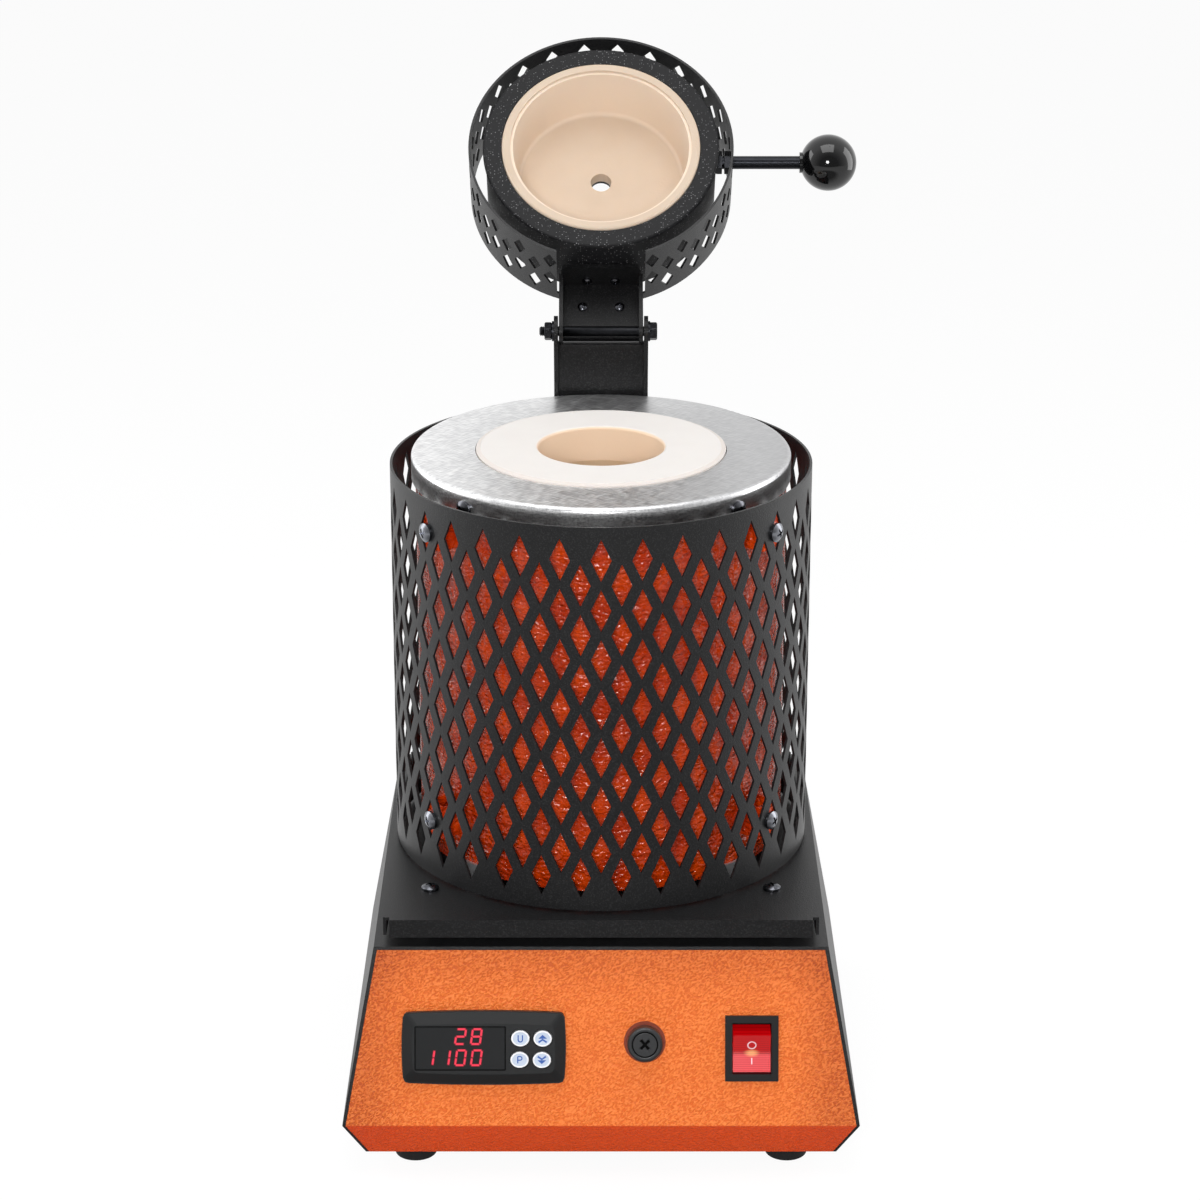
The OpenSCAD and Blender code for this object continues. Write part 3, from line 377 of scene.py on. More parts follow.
black_abs = moulded("textured_black_abs", "#191a1b", "#202122", 0.42, strength=0.3, specular=0.3)
window_acrylic = moulded("smoked_acrylic", "#222324", "#262728", 0.16, grain_mm=12, strength=0.02)
phenolic = moulded("black_phenolic", "#060607", "#0a0a0b", 0.08, grain_mm=9, strength=0.02)
nylon = moulded("black_nylon", "#1c1c1d", "#242425", 0.5)
frame_nylon = moulded("smooth_black_nylon", "#111112", "#171718", 0.46, specular=0.3)
cap_plastic = moulded("moulded_black_bakelite", "#1e1f21", "#28292b", 0.36, strength=0.25)
key_rim = moulded("white_abs", "#eceef2", "#f8f9fb", 0.35)
key_face = moulded("pale_blue_grey_film", "#bcc9dc", "#cbd6e6", 0.4, grain_mm=3)
# Painted shade: this black stands for the shade in the gap round the window and in the fuse cap's
# recesses.
painted_shade_black = moulded("painted_black_shade", "#040404", "#080808", 0.7, specular=0.1)
key_print = moulded("blue_pad_print", "#2a56a8", "#3565b8", 0.5)
mark_print = moulded("white_pad_print", "#f2c6d0", "#fbe4ea", 0.4)
# Partly painted shade: the washer's dark red-brown is both the red of the fibre and the shade in the
# panel's hole round the cap.
shaded_fibre_washer = moulded("red_fibre_with_painted_shade", "#74260b", "#8e340e", 0.55, strength=0.4)
orange_plastic = moulded("orange_abs", "#d9740f", "#e58220", 0.45)
ivory_plastic = moulded("ivory_polycarbonate", "#d6d0c0", "#e2ddcf", 0.45)
rubber = moulded("black_rubber", "#121213", "#1a1a1b", 0.6, grain_mm=1.2, strength=0.4)
print("made the plastics")

# %% [markdown]
# The lid's flange is the same black coat, but dusted with pale specks of ceramic where it meets the ring.

# %% Dusty flange
def dusty_black():
    material, tree, shader, place = start_material("dusty_black_powder_coat", Roughness=0.5, IOR=1.5,
                                                   Specular_IOR_Level=0.2)
    cells = add(tree, "TexVoronoi", {"Vector": place, "Scale": per_mm(1.0)}, feature="F1")
    speck = add(tree, "MapRange", {"Value": cells.outputs["Distance"], "From Min": 0.14, "From Max": 0.3,
                                   "To Min": 1.0, "To Max": 0.0})
    picked = add(tree, "SeparateColor", {"Color": cells.outputs["Color"]})
    few = add(tree, "MapRange", {"Value": picked.outputs["Red"], "From Min": 0.45, "From Max": 1.0})
    dust = add(tree, "Math", {0: speck, 1: few}, operation="MULTIPLY")
    tone = add(tree, "Mix", {"Factor": dust, "A": "#111113", "B": "#9a9a9c"}, data_type="RGBA")
    bump = add(tree, "Bump", {"Height": dust, "Strength": 0.4, "Distance": 0.0002})
    wire(shader, {"Base Color": tone, "Normal": bump})
    return material


flange_coat = dusty_black()
print("made", flange_coat.name)

# %% [markdown]
# ## Things that glow
# The digits are light emitting diodes behind the window. The rocker is clear red polycarbonate with a
# neon lamp under its middle, so it glows most at its hinge line and fades to the ends.

# %% Lit parts
def lit(name, code, strength):
    """Dark red plastic that shines in one colour."""
    return start_material(name, Roughness=0.4, Base_Color="#200004", Emission_Color=code,
                          Emission_Strength=strength)[0]


def red_rocker(lamp, up_slope, valley):
    """Clear red plastic. The distance along the slope tells the raised half from the pressed half, which
    is paler because the lamp shines up through its ribs, one each millimetre. The lamp itself is a flat
    spot."""
    material, tree, shader, place = start_material("lit_red_polycarbonate", Roughness=0.16, IOR=1.58,
                                                   Coat_Weight=0.5, Coat_Roughness=0.08,
                                                   Emission_Strength=0.55)
    rise = add(tree, "VectorMath", {0: place, 1: up_slope}, operation="DOT_PRODUCT")
    lower = add(tree, "MapRange", {"Value": rise, "From Min": valley - 0.0003,
                                   "From Max": valley + 0.0001, "To Min": 1.0, "To Max": 0.0})
    turns = add(tree, "Math", {0: rise, 1: 2000 * math.pi}, operation="MULTIPLY")
    wave = add(tree, "Math", {0: turns}, operation="SINE")
    ribs = add(tree, "MapRange", {"Value": wave, "From Min": -1.0, "From Max": 1.0})
    dark = add(tree, "Mix", {"Factor": ribs, "A": "#8c0004", "B": "#b20408"}, data_type="RGBA")
    pale = add(tree, "Mix", {"Factor": ribs, "A": "#ae1d26", "B": "#c84248"}, data_type="RGBA")
    tone = add(tree, "Mix", {"Factor": lower, "A": dark, "B": pale}, data_type="RGBA")
    away = add(tree, "VectorMath", {0: place, 1: lamp}, operation="SUBTRACT")
    flat = add(tree, "VectorMath", {0: away, 1: (0.55, 1.0, 1.0)}, operation="MULTIPLY")
    far = add(tree, "VectorMath", {0: flat}, operation="LENGTH")
    near = add(tree, "MapRange", {"Value": far, "From Min": 0.0004, "From Max": 0.0024, "To Min": 1.0,
                                  "To Max": 0.0}, interpolation_type="SMOOTHSTEP")
    glow = add(tree, "Mix", {"Factor": lower, "A": "#9c0006", "B": "#c02c32"}, data_type="RGBA")
    spot = add(tree, "Mix", {"Factor": near, "A": glow, "B": "#ffd080"}, data_type="RGBA")
    wire(shader, {"Base Color": tone, "Emission Color": spot})
    return material


digit_light = lit("red_led_light", "#ff3450", 1.0)
digit_halo = lit("red_led_halo", "#8c0a24", 0.8)
print("made the lamps' materials")

# %% [markdown]
# ## Finishes for the CAD nodes
# Every node gets the finish of the part that it is. The list below reads as a parts list.

# %% Finish each node
finish_of = {
    orange_coat: ["front_panel"],
    black_coat: ["case_cover", "rear_panel", "base_plate", "tray", "shell", "lid_band"],
    shaded_black_coat: ["hinge_post", "lid_arm", "band_bracket"],
    flange_coat: ["lid_casing"],
    drum_paint: ["drum", "shell_brackets"],
    stainless: ["top_cover", "thermocouple"],
    galvanised: ["drum_feet"],
    zinc: ["case_screws", "foot_screws", "tray_spacers", "post_spacers"],
    nickel: ["shell_screws"],
    black_nickel: ["tray_screws", "cover_screws", "post_screws", "arm_screws"],
    black_oxide: ["hinge_bolt", "hinge_nut", "hinge_washers", "handle_nuts"],
    burnished: ["handle_rod"],
    heater_wire: ["heating_coil", "element_leads"],
    ring_ceramic: ["top_ring"],
    white_ceramic: ["lead_bushings"],
    fire_clay: ["muffle"],
    pale_clay: ["lid_insert"],
    fibre: ["insulation_blanket", "insulation_floor", "lid_insulation"],
    black_abs: ["controller_bezel", "controller_case"],
    window_acrylic: ["controller_window"],
    digit_light: ["display_digits"],
    key_rim: ["key_set", "key_up", "key_program", "key_down"],
    phenolic: ["handle_knob"],
    cap_plastic: ["fuse_cap"],
    nylon: ["fuse_body", "fuse_nut", "cord_gland"],
    frame_nylon: ["switch_frame"],
    shaded_fibre_washer: ["fuse_washer"],
    orange_plastic: ["controller_clamps"],
    ivory_plastic: ["relay", "terminal_block"],
    rubber: ["feet"],
}


def dress(node, material):
    """Puts one finish on a CAD node's object."""
    slots = nodes[node].data.materials
    slots.clear()
    slots.append(material)


for material, names in finish_of.items():
    for name in names:
        dress(name, material)

rest = sorted(set(nodes) - {n for names in finish_of.values() for n in names})
print("nodes still without a finish:", rest)

# %% [markdown]
# ## Places on the front panel
# The panel leans back by 16.4 degrees. Points on it are given as across, down the slope and out of it, in
# millimetres, which is how the drawing of the panel gives them, and one function turns them into metres.

# %% Panel coordinates
PANEL_TILT = math.atan(24 / 81.6)
ACROSS = np.array([1.0, 0.0, 0.0])
UP_SLOPE = np.array([0.0, math.sin(PANEL_TILT), math.cos(PANEL_TILT)])
OUTWARD = np.array([0.0, -math.cos(PANEL_TILT), math.sin(PANEL_TILT)])
PANEL_TOP = np.array([0.0, -106.0, 109.6])


def on_panel(x, up, out, at=(0.0, 0.0)):
    """Metres from millimetres: the panel's top edge, plus across times x, plus up-slope times the height
    above the place, plus outward times the distance from the sheet."""
    x, up, out = np.broadcast_arrays(x, up, out)
    p = (PANEL_TOP + (x + at[0])[..., None] * ACROSS + (up - at[1])[..., None] * UP_SLOPE
         + out[..., None] * OUTWARD)
    return p / 1000.0


CONTROLLER = (-55.0, 47.3)
SWITCH = (70.7, 48.0)
print("controller centre in metres:", on_panel(0.0, 0.0, 0.0, CONTROLLER))

# %% [markdown]
# ## The glass fuse
# Pulling the cap draws out a glass fuse of 20 mm: a clear tube between two nickel caps, 5 mm long. Its
# solid is a plain rod, so the finish tells caps from glass by the depth behind the panel, which is the
# distance along the panel's outward direction.

# %% Glass fuse
def glass_fuse(deep, shallow, cap_length=0.005):
    """Nickel where the depth is within one cap's length of either end, and clear glass between."""
    material, tree, shader, place = start_material("glass_tube_with_nickel_caps", Roughness=0.12, IOR=1.5)
    out = add(tree, "VectorMath", {0: place, 1: tuple(OUTWARD)}, operation="DOT_PRODUCT")
    middle = add(tree, "Math", {0: out, 1: (deep + shallow) / 2}, operation="SUBTRACT")
    away = add(tree, "Math", {0: middle}, operation="ABSOLUTE")
    edge = (shallow - deep) / 2 - cap_length
    cap = add(tree, "MapRange", {"Value": away, "From Min": edge, "From Max": edge + 0.0002})
    clear = add(tree, "MapRange", {"Value": cap, "To Min": 0.85, "To Max": 0.0})
    tone = add(tree, "Mix", {"Factor": cap, "A": "#eef2f0", "B": "#b4b6bb"}, data_type="RGBA")
    wire(shader, {"Base Color": tone, "Metallic": cap, "Transmission Weight": clear})
    return material


FUSE_DEPTHS = (0.0316, 0.0116)
panel_depth = float(PANEL_TOP @ OUTWARD) / 1000
dress("fuse_link", glass_fuse(*(panel_depth - depth for depth in FUSE_DEPTHS)))
print("the panel's face lies at", round(panel_depth, 4), "m along its outward direction")

# %% [markdown]
# ## A helper that makes a piece
# A grid of points becomes a mesh: each square of four neighbours is a face, and a grid can close on
# itself in either direction. The piece then rides on a body of the frame.

# %% Mesh helpers
def grid_faces(rows, columns, close_rows=False, close_columns=False):
    """Squares between neighbouring rows and columns: corner (i, j) has the number i times columns plus
    j."""
    i = np.arange(rows if close_rows else rows - 1)[:, None]
    j = np.arange(columns if close_columns else columns - 1)[None, :]
    i2, j2 = (i + 1) % rows, (j + 1) % columns
    return np.stack([i * columns + j, i * columns + j2, i2 * columns + j2, i2 * columns + j],
                    -1).reshape(-1, 4)


def tube_faces(rings, sides):
    """The squares between closed rings, and one face over the first and over the last ring."""
    last = (rings - 1) * sides
    ends = [list(range(sides))[::-1], list(range(last, last + sides))]
    return grid_faces(rings, sides, close_columns=True).tolist() + ends


def make_piece(name, points, faces, body, material, smooth=True):
    """Puts points and faces into a mesh at the origin and lets it ride on a body."""
    mesh = bpy.data.meshes.new(name)
    mesh.from_pydata(points.reshape(-1, 3).tolist(), [], [tuple(f) for f in faces])
    mesh.polygons.foreach_set("use_smooth", [smooth] * len(mesh.polygons))
    mesh.update()
    piece = bpy.data.objects.new(name, mesh)
    bpy.context.collection.objects.link(piece)
    mesh.materials.append(material)
    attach(piece, body)
    print(name, len(mesh.vertices), "points")
    return piece

# %% [markdown]
# ## Printed strokes
# The keys carry blue pad-printed signs and the rocker a white ring and bar. Each is a stroke of even
# width along a path, a hair proud of the face it is printed on, so a ribbon of four edges does it.

# %% A stroke along a path
def stroke(path, width, thick):
    """A closed ribbon along a path of (x, y) points: at each point the path's direction d gives a
    sideways vector n, and the four corners are the point plus or minus half the width times n, at heights
    0 and thick."""
    path = np.asarray(path, float)
    d = np.gradient(path, axis=0)
    d /= np.linalg.norm(d, axis=1)[:, None]
    n = np.stack([-d[:, 1], d[:, 0]], 1) * width / 2
    low, high = np.zeros(len(path)), np.full(len(path), thick)
    left, right = path + n, path - n
    ring = np.stack([np.column_stack([left, low]), np.column_stack([right, low]),
                     np.column_stack([right, high]), np.column_stack([left, high])], 1)
    faces = grid_faces(len(path), 4, close_columns=True).tolist()
    last = 4 * (len(path) - 1)
    faces += [[0, 1, 2, 3], [last + 3, last + 2, last + 1, last]]
    return ring.reshape(-1, 3), faces


def printed(name, strokes, to_world, body, material):
    """Joins strokes into one piece, after a function has placed their points."""
    points, faces, count = [], [], 0
    for p, f in strokes:
        points.append(to_world(p))
        faces += [[k + count for k in quad] for quad in f]
        count += len(p)
    return make_piece(name, np.concatenate(points), faces, body, material, smooth=False)


KEY_CENTRES = {"key_set": (17.25, 5.1), "key_up": (27.7, 5.0), "key_program": (16.9, -5.0),
               "key_down": (27.3, -5.1)}
KEY_TOP = 6.93


def on_key(centre):
    """Places a sign on top of a key: across and up from the key's middle, just above its face."""
    return lambda p: on_panel(p[:, 0] + centre[0], p[:, 1] + centre[1], p[:, 2] + KEY_TOP, CONTROLLER)


SIGN_WIDTH, SIGN_THICK = 0.55, 0.05
turn = np.linspace(0, math.pi, 17)
bowl = np.column_stack([-np.cos(turn), -0.6 - np.sin(turn)])
letter_u = [stroke(np.vstack([[-1.0, 1.6], bowl, [1.0, 1.6]]), SIGN_WIDTH, SIGN_THICK)]
half = np.linspace(math.pi / 2, -math.pi / 2, 13)
belly = np.column_stack([0.25 + 0.85 * np.cos(half), 0.75 + 0.85 * np.sin(half)])
letter_p = [stroke([[-0.85, -1.6], [-0.85, 0.0], [-0.85, 1.6]], SIGN_WIDTH, SIGN_THICK),
            stroke(np.vstack([[-0.85, 1.6], belly, [-0.85, -0.1]]), SIGN_WIDTH, SIGN_THICK)]


def arrow_pair(sign):
    """A filled triangle over a chevron, pointing up for sign 1 and down for sign -1. The triangle is a
    stack of strokes that grow wider towards its base."""
    rows = [stroke(np.array([[-w, y], [0.0, y], [w, y]]) * [1, sign], 0.26, SIGN_THICK)
            for y, w in zip(np.linspace(1.75, 0.15, 8), np.linspace(0.12, 1.9, 8))]
    head = np.array([[-1.9, -1.7], [0.0, -0.4], [1.9, -1.7]])
    return rows + [stroke(head * [1, sign], 0.85, SIGN_THICK)]


signs = {"key_set": letter_u, "key_up": arrow_pair(1), "key_program": letter_p,
         "key_down": arrow_pair(-1)}
for name, sign in signs.items():
    printed(name + "_sign", sign, on_key(KEY_CENTRES[name]), name, key_print)

# %% [markdown]
# ## Keys and the shadow round the window
# The keys are soft domed pads with a raised white rim round a film of pale blue grey. Each is a stack of
# ovals: the outline shrinks by a share s while the height follows a short list for skirt, rim and film.
# A painted shadow of the thin gap round the window is drawn by four black strokes on the face of the
# bezel.

# %% Key pads and the window's painted shadow
PAD = np.array([[1.0, 1.6], [1.0, 6.55], [0.985, 6.78], [0.955, 6.92], [0.91, 6.98], [0.86, 6.97],
                [0.815, 6.93], [0.8, 6.92], [0.4, 6.92], [0.01, 6.92]])
KEY_SIDES = 64
FIRST_FILM_RING = 7
WINDOW_MIDDLE, WINDOW_HALF = (-10.9, 0.3), (21.1, 10.2)
BEZEL_FACE = 6.29


def key_pad(centre, sides=KEY_SIDES):
    """Ovals with half axes 4.32 s and 3.78 s mm at the heights of the list."""
    angle = np.linspace(0, 2 * math.pi, sides, endpoint=False)[None, :]
    share, height = PAD[:, :1], PAD[:, 1:]
    x = centre[0] + 4.32 * share * np.cos(angle)
    up = centre[1] + 3.78 * share * np.sin(angle)
    return on_panel(x, up, height, CONTROLLER), tube_faces(len(PAD), sides)


for name, centre in KEY_CENTRES.items():
    points, faces = key_pad(centre)
    pad = make_piece(name + "_pad", points, faces, name, key_rim)
    pad.data.materials.append(key_face)
    film = [int(min(face) >= KEY_SIDES * FIRST_FILM_RING) for face in faces]
    pad.data.polygons.foreach_set("material_index", film)
    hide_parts(name)

left, low = np.subtract(WINDOW_MIDDLE, WINDOW_HALF)
right, high = np.add(WINDOW_MIDDLE, WINDOW_HALF)
edges = [((left, low), (right, low)), ((left, high), (right, high)), ((left, low), (left, high)),
         ((right, low), (right, high))]
# Painted shadow: black strokes where the window meets the bezel.
gap_shadow = [stroke(np.linspace(a, b, 3), 0.6, 0.03) for a, b in edges]
printed("window_gap_shadow", gap_shadow, lambda p: on_panel(p[:, 0], p[:, 1], p[:, 2] + BEZEL_FACE, CONTROLLER),
        "furnace", painted_shade_black)

# %% [markdown]
# ## The fuse cap
# The cap is moulded with a rounded edge, a ring groove and a slotted cross for a screwdriver. It is
# turned from a profile about the panel's normal, and the cross is pressed into the fine rings of its
# face.

# %% Fuse cap
FUSE = (20.5, 45.0)
SLOT_ANGLES = (45, 130)
SLOT_DEPTH = 0.9


def cap_profile():
    """Radius and height from the middle of the face to the end of the stem: face, groove, rim, an edge
    rounded by 1.1 mm, the skirt, the underside and the stem."""
    face = [(r, 7.95) for r in np.arange(0.05, 5.5, 0.15)]
    groove = [(5.6, 7.93), (5.66, 7.5), (6.1, 7.5), (6.16, 7.93)]
    rim = [(r, 8.0) for r in (6.24, 6.6, 7.15)]
    edge = [(7.2 + 1.1 * math.sin(t), 6.9 + 1.1 * math.cos(t)) for t in np.linspace(0, math.pi / 2, 9)]
    under = [(8.3, 2.3), (8.2, 2.1), (4.0, 2.1), (3.9, 2.0), (3.9, -11.4), (3.8, -11.5), (0.05, -11.5)]
    return np.array(face + groove + rim + edge + under)


def fuse_cap(sides=144):
    """Rings r cos a, r sin a. The face sinks by up to 0.9 mm near two lines through its middle, at 45 and
    130 degrees: the depth falls off as the distance from the line passes 0.5 mm and the radius 2.7 mm. A
    face of the mesh is marked for painted shade where its first corner lies in the cross or the groove."""
    profile = cap_profile()
    angle = np.linspace(0, 2 * math.pi, sides, endpoint=False)[None, :]
    r, height = profile[:, :1], profile[:, 1:]
    x, up = r * np.cos(angle), r * np.sin(angle)
    depth = np.zeros_like(x)
    for slot in SLOT_ANGLES:
        a = math.radians(slot)
        off = np.abs(x * math.sin(a) - up * math.cos(a))
        cut = np.clip((0.7 - off) / 0.2, 0, 1) * np.clip((3.0 - r) / 0.3, 0, 1)
        depth = np.maximum(depth, SLOT_DEPTH * cut)
    height = height - np.where(height > 7.9, depth, 0.0)
    faces = [face[::-1] for face in tube_faces(len(profile), sides)]
    sunk = ((depth > 0.3) | (height == 7.5)).ravel()
    recess_shade = [int(sunk[f[0]]) for f in faces]
    return on_panel(x, up, height, FUSE), faces, recess_shade


points, faces, recess_shade = fuse_cap()
cap = make_piece("slotted_fuse_cap", points, faces, "fuse_cap", cap_plastic)
# Painted shade: the groove and the cross take the black finish.
cap.data.materials.append(painted_shade_black)
cap.data.polygons.foreach_set("material_index", recess_shade)
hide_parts("fuse_cap")

# %% [markdown]
# ## The glow of the digits
# Each bar of a digit shines a little into the smoked window round it. A thin dim plate under every bar,
# wider by a sixth of a millimetre on each side, draws that edge of light.

# %% Glow plates
def islands(mesh):
    """Labels the loose parts of a mesh: each vertex takes the lowest number that its edges can reach."""
    edges = np.empty(2 * len(mesh.edges), np.int64)
    mesh.edges.foreach_get("vertices", edges)
    edges = edges.reshape(-1, 2)
    label = np.arange(len(mesh.vertices))
    while True:
        low = np.minimum(label[edges[:, 0]], label[edges[:, 1]])
        new = label.copy()
        np.minimum.at(new, edges[:, 0], low)
        np.minimum.at(new, edges[:, 1], low)
        if (new == label).all():
            return label
        label = new


def glow_plates(grow, sink):
    """One quadrilateral plate under each bar: the bar's own corners, moved outwards by grow along its
    length and its width, and down by sink from the bar's face."""
    mesh = nodes["display_digits"].data
    place = np.empty(3 * len(mesh.vertices))
    mesh.vertices.foreach_get("co", place)
    place = place.reshape(-1, 3) * 1000.0 - PANEL_TOP
    flat = np.column_stack([place @ ACROSS, place @ UP_SLOPE, place @ OUTWARD])
    label = islands(mesh)
    points, faces = [], []
    for k in np.unique(label):
        bar = flat[label == k]
        top = bar[:, 2].max() - sink
        corners = np.unique(np.round(bar[:, :2], 3), axis=0)
        middle = corners.mean(0)
        along = np.linalg.svd(corners - middle)[2]
        local = (corners - middle) @ along.T
        half = np.abs(local).max(0) + grow
        box = np.array([[-1, -1], [1, -1], [1, 1], [-1, 1]]) * half @ along + middle
        if np.cross(box[1] - box[0], box[2] - box[1]) < 0:
            box = box[::-1]
        faces.append([len(points) + c for c in range(4)])
        points += [on_panel(x, up, top) for x, up in box]
    return np.array(points), faces


points, faces = glow_plates(0.17, 0.012)
make_piece("digit_glow", points, faces, "furnace", digit_halo, smooth=False)

# %% [markdown]
# ## The hinge bolt and its nut
# The bolt is cold headed and its thread is rolled, so its crests are round and bright. Its surface is one
# grid of rings: the head's rings follow a hexagon with turned-down corners, and the tip's rings follow
# the helix of an M5 thread with a pitch of 0.8 mm.

# %% Bolt and nut
def hexagon(angle, flat):
    """Distance from the middle to the edge of a hexagon: half the width across flats over the cosine of
    the angle to the nearest flat. A corner points up at angle 0."""
    return flat / np.cos((angle % (math.pi / 3)) - math.pi / 6)


def chamfered(angle, x, flat, inner, outer):
    """The hexagon cut by a cone of 30 degrees at each end: r = min(hexagon, 0.96 flat + distance from the
    end times the square root of 3)."""
    ends = np.minimum(np.abs(x - inner), np.abs(x - outer))
    return np.minimum(hexagon(angle, flat), 0.96 * flat + ends * math.sqrt(3.0))


def threaded(angle, x, r, pitch):
    """Crest radius r less a depth of 0.55 pitch times a rounded wave that climbs one pitch each turn."""
    wave = 0.5 - 0.5 * np.cos(2 * math.pi * (x / pitch - angle / (2 * math.pi)))
    return r - 0.55 * pitch * wave ** 1.4


def rings_to_points(x, radius, angle, at):
    """Rings about a line along X: y = r sin a and z = r cos a, in metres, round a centre in
    millimetres."""
    p = np.stack([np.broadcast_to(x, radius.shape), radius * np.sin(angle), radius * np.cos(angle)], -1)
    return (p + at) / 1000.0


HINGE = np.array([0.0, 90.0, 353.0])
NUT_FLAT = 4.0
THREAD_PITCH = 0.8
SHANK_RADIUS = 2.48
BOLT_TIP, HEAD_END = -30.6, 27.9
NUT_OUTER, NUT_INNER = -28.1, -24.4


def hinge_bolt(sides=72):
    """A cone at the tip, the thread, a plain shank, the chamfered head, and a point at each end."""
    angle = np.linspace(0, 2 * math.pi, sides, endpoint=False)[None, :]
    tip = np.arange(BOLT_TIP, -24.0, 0.1)[:, None]
    cone = np.minimum(threaded(angle, tip, SHANK_RADIUS, THREAD_PITCH), 1.6 + (tip - BOLT_TIP) * 1.2)
    head = np.array([24.4, 24.45, 24.8, 26.8, 27.2, 27.5, 27.8, HEAD_END])[:, None]
    point = np.full((1, sides), 0.01)
    radius = np.concatenate([point, cone, np.full((2, sides), SHANK_RADIUS),
                             chamfered(angle, head, NUT_FLAT, 20.0, HEAD_END), point])
    x = np.concatenate([[[BOLT_TIP]], tip, [[-23.9], [24.4]], head, [[HEAD_END]]])
    return rings_to_points(x, radius, angle, HINGE), tube_faces(len(radius), sides)


def hinge_nut(sides=72):
    """The hexagon from its outer to its inner end, then back through the bore, as one closed loop."""
    angle = np.linspace(0, 2 * math.pi, sides, endpoint=False)[None, :]
    outside = np.linspace(NUT_OUTER, NUT_INNER, 12)[:, None]
    shell = chamfered(angle, outside, NUT_FLAT, NUT_INNER, NUT_OUTER)
    bore = np.full((2, sides), 2.52)
    x = np.concatenate([outside, [[NUT_INNER], [NUT_OUTER]]])
    radius = np.concatenate([shell, bore])
    faces = grid_faces(len(radius), sides, close_rows=True, close_columns=True).tolist()
    return rings_to_points(x, radius, angle, HINGE), faces


for name, (points, faces) in (("threaded_hinge_bolt", hinge_bolt()), ("chamfered_hinge_nut", hinge_nut())):
    piece = make_piece(name, points, faces, "furnace", black_oxide)
    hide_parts("hinge_bolt" if "bolt" in name else "hinge_nut")

# %% [markdown]
# ## The rocker's marks and its lamp
# The rocker lies tilted by 10 degrees about its pivot. Its two faces meet in a shallow valley; the ring
# sits on the raised half and the bar on the pressed half.

# %% Rocker marks
PIVOT_OUT = -9.0
TILT = math.radians(10)
VALLEY_HEIGHT = 9.5
FACE_SLOPE = (12.3 - VALLEY_HEIGHT) / 9.1
MARK_THICK = 0.06


def on_rocker(p):
    """A point given across, along and above one of the rocker's faces: the face climbs from the valley at
    9.5 mm above the pivot to 12.3 mm at 9.1 mm from the middle, and all of it is turned by the tilt."""
    along = p[:, 1]
    z = VALLEY_HEIGHT + FACE_SLOPE * np.abs(along) + p[:, 2]
    up = along * math.cos(TILT) - z * math.sin(TILT)
    out = along * math.sin(TILT) + z * math.cos(TILT) + PIVOT_OUT
    return on_panel(p[:, 0], up, out, SWITCH)


around = np.linspace(0, 2 * math.pi, 49)
ring = stroke(np.column_stack([1.9 * np.cos(around), 3.6 + 1.9 * np.sin(around)]), 0.55, MARK_THICK)
bar = stroke([[0, -2.8], [0, -4.2], [0, -5.6]], 0.5, MARK_THICK)
printed("rocker_marks", [ring, bar], on_rocker, "rocker", mark_print)

lamp_place = on_rocker(np.array([[0.0, -0.6, 0.0]]))[0]
valley = float(on_rocker(np.array([[0.0, -1.1, 0.0]]))[0] @ UP_SLOPE)
dress("switch_rocker", red_rocker(tuple(lamp_place), tuple(UP_SLOPE), valley))
print("lamp under the rocker at", lamp_place)

# %% [markdown]
# ## Light and stage
# A product photograph like this one has a white cyclorama all round, with big soft boxes. The world is
# plain light. The camera sees it as pure white, and mirrors see it fade to grey on the camera's side.
# Five area lamps shape the forms: one above, two in front and one on each side.

# %% World, lamps and floor
scene = bpy.context.scene
scene.view_settings.view_transform = "Standard"
world = bpy.data.worlds.new("white_studio")
scene.world = world
world.use_nodes = True
sky = world.node_tree
sky.nodes.clear()
path = add(sky, "LightPath")
seen = add(sky, "Math", {0: path.outputs["Is Camera Ray"], 1: path.outputs["Is Glossy Ray"]},
           operation="MAXIMUM")
seen = add(sky, "Math", {0: seen, 1: path.outputs["Is Transmission Ray"]}, operation="MAXIMUM")
plain = add(sky, "Background", {"Color": (1, 1, 1, 1), "Strength": 0.34})
white = add(sky, "Background", {"Color": (1, 1, 1, 1), "Strength": 1.0})
way = add(sky, "SeparateXYZ", {"Vector": add(sky, "TexCoord").outputs["Generated"]})
level = add(sky, "MapRange", {"Value": way.outputs["Y"], "From Min": -0.8, "From Max": -0.1,
                              "To Min": 0.22, "To Max": 1.15})
mirrored = add(sky, "Background", {"Color": (1, 1, 1, 1), "Strength": level})
shown = add(sky, "MixShader", {0: path.outputs["Is Glossy Ray"], 1: white, 2: mirrored})
either = add(sky, "MixShader", {0: seen, 1: plain, 2: shown})
add(sky, "OutputWorld", {"Surface": either})


TARGET = np.array([0.0, 0.0, 0.2])


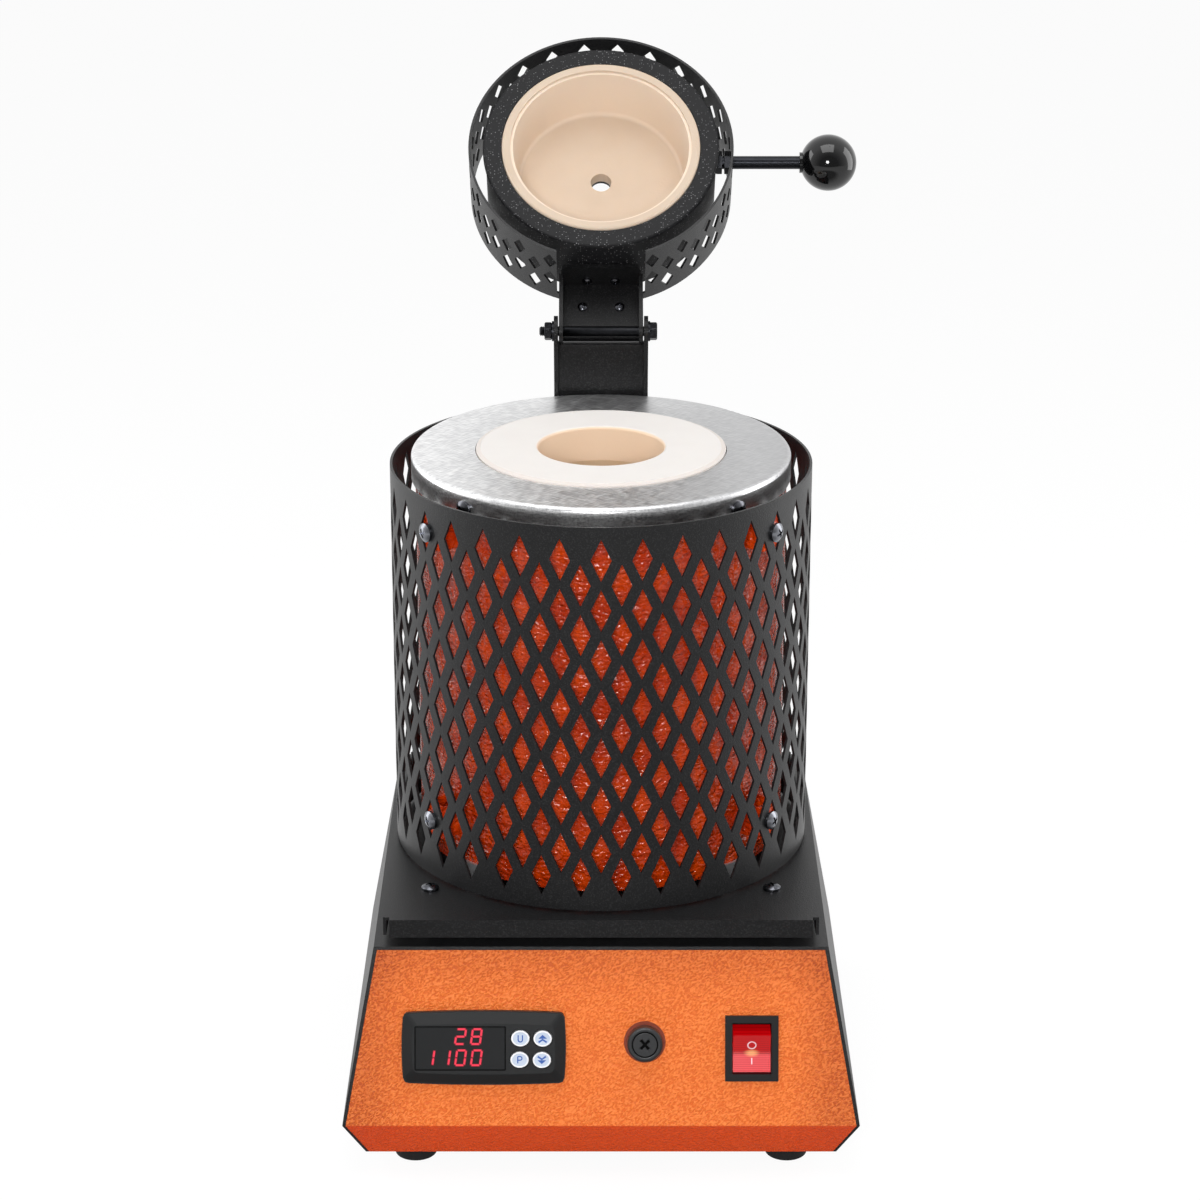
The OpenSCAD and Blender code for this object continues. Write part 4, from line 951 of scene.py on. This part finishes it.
def area_lamp(name, place, size, power):
    """A rectangular soft box that faces the furnace: its yaw and pitch are the arc tangents of the
    direction to the target."""
    data = bpy.data.lights.new(name, "AREA")
    data.shape = "RECTANGLE"
    data.size, data.size_y = size
    data.energy = power
    lamp = bpy.data.objects.new(name, data)
    bpy.context.collection.objects.link(lamp)
    away = TARGET - place
    yaw = math.atan2(away[1], away[0]) - math.pi / 2
    pitch = math.atan2(away[2], math.hypot(away[0], away[1])) + math.pi / 2
    lamp.location = place
    lamp.rotation_euler = (pitch, 0.0, yaw)
    lamp.visible_camera = False
    return lamp


area_lamp("soft_box_above", (0.0, -0.2, 1.6), (1.0, 0.8), 7.7)
fill = area_lamp("front_fill", (0.0, -1.7, 0.85), (0.8, 0.4), 5.8)
fill.visible_glossy = False
area_lamp("front_spark", (-0.1, -1.7, 0.9), (0.3, 0.3), 12.0)
area_lamp("soft_box_left", (-1.15, 0.3, 0.45), (0.6, 1.4), 8.0)
area_lamp("soft_box_right", (1.15, 0.3, 0.45), (0.6, 1.4), 8.0)

floor_corners = [(-4.0, -4.0, 0.0), (4.0, -4.0, 0.0), (4.0, 6.0, 0.0), (-4.0, 6.0, 0.0)]
floor_mesh = bpy.data.meshes.new("floor")
floor_mesh.from_pydata(floor_corners, [], [(0, 1, 2, 3)])
floor = bpy.data.objects.new("floor", floor_mesh)
bpy.context.collection.objects.link(floor)
paper = bpy.data.materials.new("white_paper")
paper.use_nodes = True
sheet = paper.node_tree
sheet.nodes.clear()
path = add(sheet, "LightPath")
seen = add(sheet, "Math", {0: path.outputs["Is Camera Ray"], 1: path.outputs["Is Glossy Ray"]},
           operation="MAXIMUM")
seen = add(sheet, "Math", {0: seen, 1: 0.86}, operation="MULTIPLY")
matt = add(sheet, "BsdfDiffuse", {"Color": (0.65, 0.65, 0.65, 1)})
where = add(sheet, "TexCoord").outputs["Object"]
# Painted shade: mirrors see the floor darker near a point 0.55 m in front of the furnace, down to a fifth
# within 0.42 m of it.
off = add(sheet, "VectorMath", {0: where, 1: (0.0, -0.55, 0.0)}, operation="DISTANCE")
mirrored_floor_shade = add(sheet, "MapRange", {"Value": off, "From Min": 0.42, "From Max": 0.65, "To Min": 0.2,
                                "To Max": 1.08})
level = add(sheet, "Mix", {"Factor": path.outputs["Is Camera Ray"], "A": mirrored_floor_shade, "B": 1.08})
bright = add(sheet, "Emission", {"Color": (1, 1, 1, 1), "Strength": level})
mixed = add(sheet, "MixShader", {0: seen, 1: matt, 2: bright})
add(sheet, "OutputMaterial", {"Surface": mixed})
floor_mesh.materials.append(paper)
